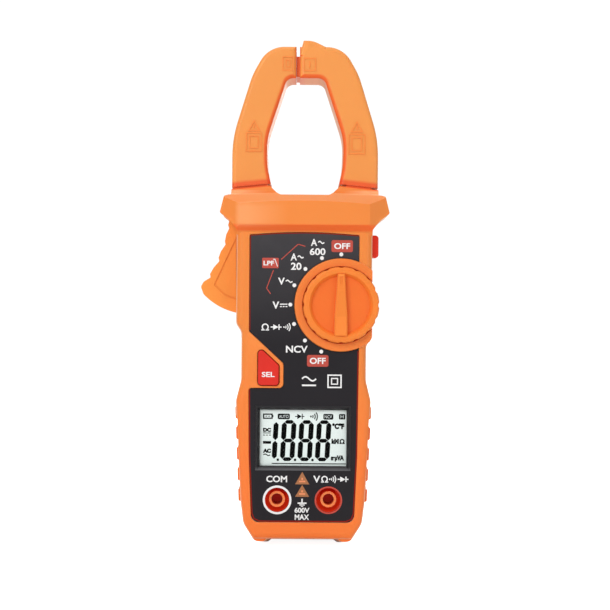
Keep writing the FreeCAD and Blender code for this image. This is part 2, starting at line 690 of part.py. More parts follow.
def selector_knob():
    rim_y, back_y = KNOB_FRONT_Y + 0.5, WELL_FLOOR_Y - 0.15
    disc = rod(KNOB_X, KNOB_Z, KNOB_R, rim_y, back_y)
    disc = soften(disc, 1.0, edges_at(disc, rim_y))
    notches = []
    for i in range(POSITIONS):
        a = 2 * math.pi * i / POSITIONS
        notches.append(rod(KNOB_X + 15.35 * math.cos(a), KNOB_Z + 15.35 * math.sin(a), 1.75, -25, 0))
    dish = cone(KNOB_X, KNOB_Z, 11.7, 10.5, rim_y - 0.05, rim_y + 1.7)
    disc = less(disc, *notches, dish)
    shaft = rod(KNOB_X, KNOB_Z, SHAFT_R, back_y - 0.5, -9.9)
    knob = joined([disc, knob_handle(), shaft])
    mark = [(KNOB_X + x, KNOB_Z + z) for x, z in [(0.55, 10.4), (0.55, 7.9), (-0.55, 7.9), (-0.55, 10.4)]]
    return less(knob, prism(mark, KNOB_FRONT_Y - 1, KNOB_FRONT_Y + 0.3), rod(KNOB_X, KNOB_Z, 1.2, -16.0, 0))


def switch_rotor():
    """Disc behind the well's floor that carries the wipers and the detent balls."""
    disc = tube(KNOB_X, KNOB_Z, 9.0, SHAFT_R, WELL_FLOOR_Y + 1.9, -9.9)
    for x0, x1 in ((-9.6, -6.4), (6.4, 9.6)):
        hole = Part.makeCylinder(0.8, abs(x1 - x0), V(KNOB_X + x0, -10.6, KNOB_Z), V(1, 0, 0))
        disc = disc.cut(hole)
    return disc


def wiper_contacts():
    """Three bridged spring contacts, each a pair of feet on the rotor's underside."""
    wipers = []
    for r in (3.6, 5.6, 7.6):
        strip = block(KNOB_X - 1.6, KNOB_X + 1.6, -9.85, -9.65, KNOB_Z - r - 0.35, KNOB_Z - r + 0.35)
        low, high = KNOB_Z - r - 0.3, KNOB_Z - r + 0.3
        feet_pair = [block(x - 0.3, x + 0.3, -9.65, -8.75, low, high) for x in (KNOB_X - 1.3, KNOB_X + 1.3)]
        wipers.append(joined([strip] + feet_pair))
    return Part.makeCompound(wipers)


def detent_balls():
    return Part.makeCompound([Part.makeSphere(0.75, V(KNOB_X + s * 9.0, -10.6, KNOB_Z)) for s in (-1, 1)])


def detent_springs():
    springs = []
    for s in (-1, 1):
        path = Part.makeHelix(0.42, 1.26, 0.5)
        profile = Part.Wire(Part.makeCircle(0.12, V(0.5, 0, 0), V(0, 1, 0)))
        spring = Part.Wire(path).makePipeShell([profile], True, True)
        spring.rotate(V(0, 0, 0), V(0, 1, 0), 90)
        spring.translate(V(KNOB_X + (6.65 if s > 0 else -7.91), -10.6, KNOB_Z))
        springs.append(spring)
    return Part.makeCompound(springs)


def knob_screw():
    return screw(KNOB_X, KNOB_Z, 2.4, 1.15, -9.9, -9.0, -15.8)


# ---------------------------------------------------------------- buttons
def sel_button():
    cap = prism(SEL_OUTLINE, FACE_Y - 0.9, FACE_WALL_Y + 0.4)
    cap = soften(cap, 0.45, edges_at(cap, FACE_Y - 0.9))
    flange = grown(SEL_OUTLINE, 0.9, FACE_WALL_Y + 0.3, FACE_WALL_Y + 1.0)
    stem = rod(*SEL_PLACE, 1.9, FACE_WALL_Y + 0.5, -11.45)
    return joined([cap, flange, stem])


def tact_body(x, z):
    body = block(x - 3, x + 3, BOARD_Y0 - 1.9, BOARD_Y0, z - 3, z + 3)
    return body.cut(rod(x, z, 1.5, -12, BOARD_Y0 - 0.6))


def sel_plunger():
    return rod(*SEL_PLACE, 1.4, -11.45, BOARD_Y0 - 1.5)


def hold_button():
    outline = [(24.0, 107.6, 0.2), (27.7, 107.6, 1.2), (27.7, 116.0, 1.2), (24.0, 116.0, 0.2)]
    cap = prism(outline, -8.5, -1.5)
    cap = soften(cap, 0.8, edges_at(cap, -8.5) + edges_at(cap, -1.5))
    neck = block(22.9, 24.3, -8.4, -1.6, 107.7, 115.9)
    flange = block(22.2, 23.0, -9.4, -0.6, 106.8, 116.8)
    stem = Part.makeCylinder(1.4, 1.6, V(20.8, -4.9, 111.8), V(1, 0, 0))
    return joined([cap, neck, flange, stem])


def hold_switch():
    body = block(14.0, 19.4, BOARD_Y1, BOARD_Y1 + 4.2, 108.8, 114.8)
    hole = Part.makeCylinder(1.2, 4, V(17.0, -4.9, 111.8), V(1, 0, 0))
    return body.cut(hole)


def hold_plunger():
    return Part.makeCylinder(1.1, 2.6, V(18.2, -4.9, 111.8), V(1, 0, 0))


# ---------------------------------------------------------------- batteries
def battery_cells():
    cells = []
    for s in (-1, 1):
        x, up = s * CELL_X, s > 0
        can = Part.makeCylinder(CELL_R, CELL_LENGTH - 1.0, V(x, CELL_Y, CELL_Z0 + (0 if up else 1.0)))
        nub_z = CELL_Z0 + CELL_LENGTH - 1.0 if up else CELL_Z0
        cells.append(joined([can, Part.makeCylinder(1.9, 1.0, V(x, CELL_Y, nub_z))]))
    return Part.makeCompound(cells)


def battery_springs():
    """Conical contact springs at the cells' flat ends, on their plates."""
    parts = []
    for x, z, way in ((CELL_X, BAY_Z0, 1), (-CELL_X, BAY_Z1, -1)):
        plate = block(x - 4, x + 4, 7.0, 15.6, min(z, z + way * 0.4), max(z, z + way * 0.4))
        reach = CELL_Z0 - BAY_Z0 if way > 0 else BAY_Z1 - (CELL_Z0 + CELL_LENGTH)
        path = Part.makeHelix(0.9, reach - 1.0, 3.6, -30)
        profile = Part.Wire(Part.makeCircle(0.3, V(3.6, 0, 0), V(0, 1, 0)))
        cone_spring = Part.Wire(path).makePipeShell([profile], True, True)
        if way < 0:
            cone_spring.rotate(V(0, 0, 0), V(1, 0, 0), 180)
        cone_spring.translate(V(x, CELL_Y, z + way * 0.6))
        parts.append(joined([plate, cone_spring]))
    return Part.makeCompound(parts)


def battery_plates():
    """Nickel plates at the cells' button ends."""
    top = block(CELL_X - 4, CELL_X + 4, 7.0, 15.6, BAY_Z1 - 0.4, BAY_Z1)
    nub_z = CELL_Z0 + CELL_LENGTH
    top_bump = Part.makeCylinder(1.6, BAY_Z1 - 0.4 - nub_z, V(CELL_X, CELL_Y, nub_z))
    low = block(-CELL_X - 4, -CELL_X + 4, 7.0, 15.6, BAY_Z0, BAY_Z0 + 0.4)
    low_bump = Part.makeCylinder(1.6, CELL_Z0 - BAY_Z0 - 0.4, V(-CELL_X, CELL_Y, BAY_Z0 + 0.4))
    return Part.makeCompound([joined([top, top_bump]), joined([low, low_bump])])


# ---------------------------------------------------------------- jaws, modelled on the right and mirrored
def jaw_outline(tip_x):
    """Right-hand arm, from its foot up the outside, over the top and down the inside."""
    return [
        (JAW_OUT, COLLAR_OUT_Z + JAW_FOOT_GAP),
        (JAW_OUT, 152.2, 44.0),
        (20.0, 176.3, 30.0),
        (14.0, JAW_TOP_Z, 10.3),
        (tip_x, JAW_TOP_Z),
        (tip_x, WINDOW_TOP_Z),
        (6.9, WINDOW_TOP_Z, 3.2),
        (14.4, 152.0, 26.0),
        (14.1, 141.5, 24.0),
        (12.8, COLLAR_IN_Z + JAW_FOOT_GAP),
    ]


HOOK = [(7.6, 185.2), (7.6, 186.6, 0.3), (2.6, TOP_Z, 8.0), (-0.9, TOP_Z, 0.4)]
HOOK += [(FIXED_TIP_X, 183.4, 0.2), (0.5, 181.0)]
# strip followed by the core inside an arm, down to the keeper behind the saddle
CORE_ARM = [
    (23.1, KEEPER_Z0, 0.5),
    (23.1, 152.6, 38.0),
    (15.2, POLE_Z1, 8.5),
    (0.0, POLE_Z1, 0),
    (0.0, POLE_Z0, 0),
    (9.6, POLE_Z0, 3.8),
    (18.1, 152.2, 40.0),
    (18.1, KEEPER_Z1, 0.5),
]


def core_outline(tip_x, keeper_x):
    arm = [(tip_x if x == 0.0 else x, z, r) for x, z, r in CORE_ARM]
    return arm + [(keeper_x, KEEPER_Z1, 0), (keeper_x, KEEPER_Z0, 0)]


def at_foot(edge):
    return edge.BoundBox.ZMax < COLLAR_IN_Z + 2.0


def at_tip(edge, tip_x):
    return abs(edge.BoundBox.XMin - tip_x) < 0.01 and abs(edge.BoundBox.XMax - tip_x) < 0.01


def jaw_half(outline, y0, y1, front, extra):
    """One shell of an arm: rounded outside, hollow inside and open at the jaw's parting plane."""
    solid = prism(outline, y0, y1)
    face_y = y0 if front else y1
    # the foot and the upright pole face stay sharp
    tip_x = outline[3][0] if outline[0][0] > 0 else outline[-4][0]
    solid = soften(solid, 1.7, edges_at(solid, face_y, lambda e: not (at_foot(e) or at_tip(e, tip_x))))
    if extra:
        solid = joined([solid] + extra)
    lip = JAW_WALL
    hollow_y = (y0 + lip, y1 + 1) if front else (y0 - 1, y1 - lip)
    return solid.cut(grown(outline, -lip, *hollow_y))


def hook(y0, y1, face_y):
    """Raised beak on the fixed tip, for picking one conductor out of a bundle."""
    bump = prism(HOOK, y0, y1)
    return soften(bump, 0.9, edges_at(bump, face_y, lambda e: e.BoundBox.ZMax > JAW_TOP_Z - 0.3))


def tip_tongue():
    """Insulating tongue on the fixed tip that closes the gap in front of and behind the poles."""
    x0, x1 = MOVING_TIP_X + 0.12, FIXED_TIP_X + 1.4
    return block(x0, x1, JAW_Y0 + 2.6, JAW_Y1 - 2.6, WINDOW_TOP_Z + 0.7, 183.3)


def fixed_core():
    return prism(core_outline(FIXED_TIP_X + 0.9, -11.6), CORE_Y0, CORE_Y1)


def moving_core():
    return prism(flipped(core_outline(-MOVING_TIP_X + 0.9, 12.4)), CORE_Y0, CORE_Y1)


def arm_bobbin(side):
    """Bobbin with two flanges on the straight lower part of an arm's core."""
    c = side * 20.6
    barrel = block(c - 3.2, c + 3.2, CORE_Y0 - 0.7, CORE_Y1 + 0.7, COIL_Z0, COIL_Z1)
    y0, y1 = CORE_Y0 - 2.6, CORE_Y1 + 2.6
    flanges = [block(c - 4.7, c + 4.7, y0, y1, z, z + 0.8) for z in (COIL_Z0, COIL_Z1 - 0.8)]
    return joined([barrel] + flanges).cut(fixed_core() if side > 0 else moving_core())


def arm_coil(side):
    c = side * 20.6
    outer = block(c - 4.5, c + 4.5, CORE_Y0 - 2.4, CORE_Y1 + 2.4, COIL_Z0 + 0.8, COIL_Z1 - 0.8)
    outer = soften(outer, 1.4, [e for e in outer.Edges if e.BoundBox.ZLength > 5])
    return outer.cut(block(c - 3.2, c + 3.2, CORE_Y0 - 0.7, CORE_Y1 + 0.7, COIL_Z0, COIL_Z1))


def fixed_jaw_body():
    outline = jaw_outline(FIXED_TIP_X)
    beak = hook(PARTING_Y, JAW_Y1, JAW_Y1)
    shell = jaw_half(outline, PARTING_Y, JAW_Y1, False, [beak])
    # the beak stays solid above the arm's own hollow
    shell = joined([shell, prism(HOOK, PARTING_Y, JAW_Y1 - 1.2)])
    root = fixed_root().cut(prism(outline, TENON_Y0 - 1, PARTING_Y))
    shell = joined([shell, root, tip_tongue()])
    anchor = rod(20.6, 119.6, 1.2, -20, 20)
    return less(shell, fixed_core(), arm_bobbin(1).fuse(arm_coil(1)), anchor)


def fixed_jaw_cover():
    outline = jaw_outline(FIXED_TIP_X)
    beak = hook(JAW_Y0, PARTING_Y, JAW_Y0)
    shell = jaw_half(outline, JAW_Y0, PARTING_Y, True, [beak])
    shell = joined([shell, prism(HOOK, JAW_Y0 + 1.2, PARTING_Y)])
    return less(shell, fixed_core(), arm_bobbin(1).fuse(arm_coil(1)), tip_tongue(), fixed_jaw_body())


def moving_jaw_body():
    outline = flipped(jaw_outline(-MOVING_TIP_X))
    shell = jaw_half(outline, PARTING_Y, JAW_Y1, False, [])
    tenon = [(-14.0, 136.4), (-14.0, 131.0), (-15.2, 129.0), (-15.2, 110.0), (-25.8, 110.0), (-25.8, 129.0)]
    tenon += [(-27.2, 131.0), (-27.2, 135.6)]
    root = prism(tenon, TENON_Y0, TENON_Y1).cut(prism(outline, TENON_Y0 - 1, PARTING_Y))
    hub = rod(PIVOT_X, PIVOT_Z, HUB_R, TENON_Y0, TENON_Y1)
    pilots = [rod(x, z, 0.9, 3.0, 20) for x, z in TRIGGER_SCREWS]
    tongue = less(prism(LEVER_TONGUE, CORE_Y0, CORE_Y1), *pilots)
    peg = rod(PEG_X, PEG_Z, 1.2, CORE_Y1 - 1, 11.6)
    shell = joined([shell, root, hub, tongue, peg])
    bush_hole = rod(PIVOT_X, PIVOT_Z, BUSH_R, -20, 20)
    return less(shell, moving_core(), arm_bobbin(-1).fuse(arm_coil(-1)), bush_hole, trigger_face())


def moving_jaw_cover():
    outline = flipped(jaw_outline(-MOVING_TIP_X))
    shell = jaw_half(outline, JAW_Y0, PARTING_Y, True, [])
    return less(shell, moving_core(), arm_bobbin(-1).fuse(arm_coil(-1)), moving_jaw_body())


def fixed_jaw_screw():
    return screw(20.6, 119.6, 2.2, 1.15, TENON_Y1, TENON_Y1 + 1.0, -4.0)


def pivot_pin():
    return rod(PIVOT_X, PIVOT_Z, PIN_R, FACE_WALL_Y + 0.2, 15.8)


def pivot_bush():
    return tube(PIVOT_X, PIVOT_Z, BUSH_R, PIN_R + RUNNING, TENON_Y0 - 0.2, TENON_Y1 + 0.2)


def jaw_spring():
    """Torsion spring round the rear boss: one leg on the case, the other behind the lever's peg."""
    body = coil(PIVOT_X, PIVOT_Z, SPRING_R, SPRING_WIRE_R, SPRING_Y0, SPRING_TURNS, SPRING_PITCH)
    side_x, back_y = PIVOT_X + SPRING_R, SPRING_Y0 + SPRING_TURNS * SPRING_PITCH
    fixed_leg = Part.makeCylinder(SPRING_WIRE_R, 11.0, V(side_x, back_y, PIVOT_Z), V(0.578, 0, -0.816))
    moving_leg = Part.makeCylinder(SPRING_WIRE_R, 12.4, V(side_x, SPRING_Y0, PIVOT_Z), V(-0.2705, 0, -0.9627))
    return joined([body, fixed_leg, moving_leg])


# ---------------------------------------------------------------- trigger
TRIGGER_SCREWS = [(-25.6, 97.4), (-30.4, 100.4)]
LEVER_TONGUE = [(-25.8, 113.0), (-16.0, 108.0), (-21.0, 92.6, 1.5), (-33.4, 97.6, 1.5)]
RIDGED_EDGE = [
    (-28.1, 121.9, 0.8),
    (-28.7, 119.6, 0.8),
    (-28.3, 118.3, 0.5),
    (-29.4, 116.0, 1.5),
    (-29.9, 113.4, 0.6),
    (-29.6, 112.3, 0.5),
    (-31.4, 109.6, 1.5),
    (-32.2, 107.3, 0.6),
    (-31.9, 106.0, 0.5),
    (-34.0, 103.6, 1.5),
    (-35.4, 101.1, 0.6),
    (-35.1, 99.9, 0.5),
    (-37.7, 98.3, 1.5),
    (TRIGGER_TIP_X, 96.4, 1.6),
]


def trigger_panel():
    """Outline of the groove on each side of the trigger, inside its ridged edge."""
    return [(-25.2, 115.9), (-33.9, 97.1, 0.8), (-29.6, 93.0, 4.0), (-24.8, 91.2)]


def trigger_blank(upper_end, inner_points, y0, y1):
    """Lever's outline, closed by its own inner points and rounded off about the pivot."""
    below = [(TRIGGER_TIP_X + 0.9, 94.0, 1.6), (TRIGGER_TIP_X + 6.0, 80.0)]
    blank = prism([upper_end] + RIDGED_EDGE + below + inner_points, y0, y1)
    upper = block(-45, -16, y0 - 1, y1 + 1, 99.5, 130)
    return blank.common(upper.fuse(rod(PIVOT_X, PIVOT_Z, TRIGGER_R, y0 - 1, y1 + 1)))


def trigger_face():
    """Front layer of the trigger, which runs on behind the case's edge and hides the hub."""
    return trigger_blank((-24.1, 122.0), [(-24.1, 80.0)], TENON_Y0, TENON_Y0 + 0.8)


def trigger():
    y0, y1 = TENON_Y0, TENON_Y1
    inner = [(-16.6, 80.0), (-16.6, 103.2), (-26.2, 106.5)]
    solid = trigger_blank((-26.2, 122.0, 0.8), inner, y0, y1)
    solid = less(solid, rod(PIVOT_X, PIVOT_Z, HUB_R + 0.1, y0 - 1, y1 + 1)).fuse(trigger_face()).removeSplitter()
    for a, b in ((y0 - 1, y0 + 0.35), (y1 - 0.35, y1 + 1)):
        groove = prism(trigger_panel(), a, b).cut(grown(trigger_panel(), -0.6, a - 1, b + 1))
        solid = solid.cut(groove)
    return less(
        solid,
        prism(LEVER_TONGUE, CORE_Y0, CORE_Y1),
        rod(PEG_X, PEG_Z, 2.2, CORE_Y1 - 0.1, 20),
        *[rod(x, z, 0.9, CORE_Y1 - 0.1, 20) for x, z in TRIGGER_SCREWS],
        *[rod(x, z, 1.75, y1 - 1.4, 20) for x, z in TRIGGER_SCREWS],
    )


def trigger_screws():
    heads = (TENON_Y1 - 1.4, TENON_Y1 - 0.5)
    return Part.makeCompound([screw(x, z, 1.7, 0.9, *heads, 3.0) for x, z in TRIGGER_SCREWS])


# ---------------------------------------------------------------- the assembly
def main():
    os.makedirs(OUT, exist_ok=True)
    pieces = {
        "front_case": front_case(),
        "rear_case": rear_case(),
        "face_panel": face_panel(),
        "display_bezel": display_bezel(),
        "display_lens": display_lens(),
        "lcd_glass": lcd_glass(),
        "lcd_backlight": lcd_backlight(),
        "lcd_frame": lcd_frame(),
        "zebra_strip": zebra_strip(),
        "main_board": main_board(),
        "selector_tracks": selector_tracks(),
        "main_chip": main_chip(),
        "buzzer": buzzer(),
        "input_thermistor": input_thermistor(),
        "ncv_antenna": ncv_antenna(),
        "board_screws": board_screws(),
        "case_screws": case_screws(),
        "battery_cover": battery_cover(),
        "cover_screw": cover_screw(),
        "com_socket": socket_cup(-SOCKET_X),
        "volt_socket": socket_cup(SOCKET_X),
        "com_post": socket_post(-SOCKET_X),
        "volt_post": socket_post(SOCKET_X),
        "com_contact": socket_contact(-SOCKET_X),
        "volt_contact": socket_contact(SOCKET_X),
        "com_strap": socket_strap(-SOCKET_X),
        "volt_strap": socket_strap(SOCKET_X),
        "selector_knob": selector_knob(),
        "switch_rotor": switch_rotor(),
        "wiper_contacts": wiper_contacts(),
        "detent_balls": detent_balls(),
        "detent_springs": detent_springs(),
        "knob_screw": knob_screw(),
        "sel_button": sel_button(),
        "sel_switch": tact_body(*SEL_PLACE),
        "sel_plunger": sel_plunger(),
        "hold_button": hold_button(),
        "hold_switch": hold_switch(),
        "hold_plunger": hold_plunger(),
        "battery_cells": battery_cells(),
        "battery_springs": battery_springs(),
        "battery_plates": battery_plates(),
        "fixed_jaw_body": fixed_jaw_body(),
        "fixed_jaw_cover": fixed_jaw_cover(),
        "fixed_core": fixed_core(),
        "fixed_bobbin": arm_bobbin(1),
        "fixed_coil": arm_coil(1),
        "fixed_jaw_screw": fixed_jaw_screw(),
        "moving_jaw_body": moving_jaw_body(),
        "moving_jaw_cover": moving_jaw_cover(),
        "moving_core": moving_core(),
        "moving_bobbin": arm_bobbin(-1),
        "moving_coil": arm_coil(-1),
        "trigger": trigger(),
        "trigger_screws": trigger_screws(),
        "pivot_pin": pivot_pin(),
        "pivot_bush": pivot_bush(),
        "jaw_spring": jaw_spring(),
    }
    whole = Part.makeCompound([export(name, shape) for name, shape in pieces.items()])
    print("nodes", len(pieces), "bounding box", whole.BoundBox)


if __name__ == "__main__":
    main()
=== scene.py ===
"""Looks of the clamp meter: finishes, printing, display segments and moulded marks over the CAD frame.

Lengths named in millimetres are measured from the case's centreline (x) and from the feet (z).
The frame itself is in metres, with the front face towards -Y.
"""
import json
import math

import bmesh
import bpy
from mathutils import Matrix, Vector


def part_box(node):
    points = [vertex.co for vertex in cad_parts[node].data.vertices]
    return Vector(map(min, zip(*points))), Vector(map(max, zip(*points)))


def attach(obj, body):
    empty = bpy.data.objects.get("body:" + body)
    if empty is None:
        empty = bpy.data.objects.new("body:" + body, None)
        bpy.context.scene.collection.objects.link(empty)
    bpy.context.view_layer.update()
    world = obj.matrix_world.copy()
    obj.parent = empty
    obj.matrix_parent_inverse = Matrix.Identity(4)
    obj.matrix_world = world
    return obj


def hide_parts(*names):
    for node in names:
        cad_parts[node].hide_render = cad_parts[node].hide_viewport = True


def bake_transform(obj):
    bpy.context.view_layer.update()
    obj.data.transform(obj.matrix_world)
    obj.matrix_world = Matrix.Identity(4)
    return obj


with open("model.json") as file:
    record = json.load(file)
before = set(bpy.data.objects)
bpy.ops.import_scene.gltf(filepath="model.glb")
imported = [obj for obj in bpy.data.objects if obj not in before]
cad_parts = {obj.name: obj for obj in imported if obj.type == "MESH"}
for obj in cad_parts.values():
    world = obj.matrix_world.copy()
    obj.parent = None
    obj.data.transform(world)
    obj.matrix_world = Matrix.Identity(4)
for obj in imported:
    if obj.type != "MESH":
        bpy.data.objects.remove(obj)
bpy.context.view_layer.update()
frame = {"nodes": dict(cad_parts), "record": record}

MM = 0.001
INK_LIFT = 0.03
PANEL_LOW, PANEL_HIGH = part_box("face_panel")
CENTRE_X = (PANEL_LOW.x + PANEL_HIGH.x) / 2
PANEL_Y = PANEL_LOW.y / MM
KNOB_LOW, KNOB_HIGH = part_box("selector_knob")
KNOB_X = ((KNOB_LOW.x + KNOB_HIGH.x) / 2 - CENTRE_X) / MM
KNOB_Z = (KNOB_LOW.z + KNOB_HIGH.z) / 2 / MM
GLASS_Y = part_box("lcd_glass")[0].y / MM
LCD_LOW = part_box("display_lens")[0]
JAW_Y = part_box("fixed_jaw_cover")[0].y / MM
TIP_X = (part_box("moving_jaw_cover")[1].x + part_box("fixed_jaw_cover")[0].x) / 2
SOCKET_LOW, SOCKET_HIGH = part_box("volt_post")
SOCKET_X = ((SOCKET_LOW.x + SOCKET_HIGH.x) / 2 - CENTRE_X) / MM
SOCKET_Z = (SOCKET_LOW.z + SOCKET_HIGH.z) / 2 / MM


def at(x, y, z):
    """A point given in millimetres from the case's centreline, as a place in the frame."""
    return Vector((CENTRE_X + x * MM, y * MM, z * MM))


# ---------------------------------------------------------------- flat shapes, as lists of (x, z) outlines
def rect(x0, x1, z0, z1):
    return [[(x0, z0), (x1, z0), (x1, z1), (x0, z1)]]


def rounded_rect(x0, x1, z0, z1, r, steps=5):
    outline = []
    corners = ((x1 - r, z0 + r, -90), (x1 - r, z1 - r, 0), (x0 + r, z1 - r, 90), (x0 + r, z0 + r, 180))
    for cx, cz, start in corners:
        for i in range(steps + 1):
            a = math.radians(start + 90 * i / steps)
            outline.append((cx + r * math.cos(a), cz + r * math.sin(a)))
    return [outline]


def disc(x, z, r, steps=28):
    angles = [2 * math.pi * i / steps for i in range(steps)]
    return [[(x + r * math.cos(a), z + r * math.sin(a)) for a in angles]]


def ring(x, z, r0, r1, start=0.0, sweep=360.0, steps=48):
    cells = []
    for i in range(steps):
        a, b = (math.radians(start + sweep * (i + k) / steps) for k in (0, 1))
        corners = ((r0, a), (r1, a), (r1, b), (r0, b))
        cells.append([(x + r * math.cos(t), z + r * math.sin(t)) for r, t in corners])
    return cells


def stroke(points, width, closed=False):
    """Line of even width through the points, with mitred joints."""
    line = [Vector(p) for p in points]
    count = len(line)
    left, right = [], []
    for i, p in enumerate(line):
        before = line[i - 1] if closed or i else p + (p - line[1])
        after = line[(i + 1) % count] if closed or i < count - 1 else p + (p - line[i - 1])
        a, b = (p - before).normalized(), (after - p).normalized()
        normal = Vector((-(a + b).y, (a + b).x)).normalized()
        reach = width / 2 / max(0.35, normal.dot(Vector((-a.y, a.x))))
        left.append(tuple(p + normal * reach))
        right.append(tuple(p - normal * reach))
    spans = range(count if closed else count - 1)
    return [[left[i], right[i], right[(i + 1) % count], left[(i + 1) % count]] for i in spans]


def frame_line(x0, x1, z0, z1, width):
    return stroke([(x0, z0), (x1, z0), (x1, z1), (x0, z1)], width, closed=True)


def words(text, x0, x1, z0, z1, weight=0.025):
    """Lettering from the built-in font, fitted to the box."""
    curve = bpy.data.curves.new("lettering", "FONT")
    curve.body = text
    curve.offset = weight
    curve.resolution_u = 4
    holder = bpy.data.objects.new("lettering", curve)
    bpy.context.scene.collection.objects.link(holder)
    mesh = holder.evaluated_get(bpy.context.evaluated_depsgraph_get()).to_mesh()
    xs = [v.co.x for v in mesh.vertices]
    ys = [v.co.y for v in mesh.vertices]
    sx = (x1 - x0) / (max(xs) - min(xs))
    sz = (z1 - z0) / (max(ys) - min(ys))
    spots = [(x0 + (v.co.x - min(xs)) * sx, z0 + (v.co.y - min(ys)) * sz) for v in mesh.vertices]
    cells = [[spots[i] for i in p.vertices] for p in mesh.polygons]
    bpy.data.objects.remove(holder)
    bpy.data.curves.remove(curve)
    return cells


def omega(x0, x1, z0, z1, width):
    """The ohm sign: an open ring on two short feet, drawn as one line."""
    cx, r = (x0 + x1) / 2, (x1 - x0) / 2 - width * 0.7
    cz = z1 - r - width / 2
    points = [(x1, z0 + width / 2), (cx + r * 0.42, z0 + width / 2)]
    for i in range(21):
        a = math.radians(-62 + 304 * i / 20)
        points.append((cx + r * math.cos(a), cz + r * math.sin(a)))
    points += [(cx - r * 0.42, z0 + width / 2), (x0, z0 + width / 2)]
    return stroke(points, width)


def tilde(x0, x1, z, height, width):
    points = []
    for i in range(13):
        t = i / 12
        points.append((x0 + (x1 - x0) * t, z + math.sin(2 * math.pi * t) * height / 2))
    return stroke(points, width)


def diode(x0, x1, z, height, width):
    """Arrowhead against a bar, on a line."""
    a, b = x0 + (x1 - x0) * 0.24, x0 + (x1 - x0) * 0.72
    shape = [[(a, z - height / 2), (b, z), (a, z + height / 2)]]
    shape += rect(x0, a, z - width / 2, z + width / 2) + rect(b + width, x1, z - width / 2, z + width / 2)
    return shape + rect(b, b + width, z - height / 2, z + height / 2)


def sound(x, z, size, width):
    """A dot and three arcs."""
    shape = disc(x, z, width * 0.8, 12)
    for i in (1, 2, 3):
        r = size * i / 3
        shape += ring(x, z, r - width / 2, r + width / 2, -38, 76, 10)
    return shape


def dc_mark(x0, x1, z, width):
    """A full bar over three dashes."""
    shape = rect(x0, x1, z + 0.25, z + 0.25 + width)
    step = (x1 - x0) / 8
    for i in (0, 3, 6):
        shape += rect(x0 + i * step, x0 + (i + 2) * step, z - 0.25 - width, z - 0.25)
    return shape


# ---------------------------------------------------------------- meshes
def facing_reader(cell):
    """The outline in the order that makes its front face the reader."""
    area = sum(cell[i - 1][0] * p[1] - p[0] * cell[i - 1][1] for i, p in enumerate(cell))
    return cell if area > 0 else cell[::-1]


def build(name, cells, y, body, material, height=0.0):
    """One piece from flat outlines at depth y, raised towards the reader by height."""
    shape = bmesh.new()
    for cell in map(facing_reader, cells):
        top = [shape.verts.new(at(x, y - height, z)) for x, z in cell]
        shape.faces.new(top)
        if height:
            low = [shape.verts.new(at(x, y, z)) for x, z in cell]
            for i in range(len(cell)):
                shape.faces.new([low[i - 1], low[i], top[i], top[i - 1]])
    mesh = bpy.data.meshes.new(name)
    shape.to_mesh(mesh)
    shape.free()
    piece = bpy.data.objects.new(name, mesh)
    bpy.context.scene.collection.objects.link(piece)
    piece.data.materials.append(material)
    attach(piece, body)
    return piece


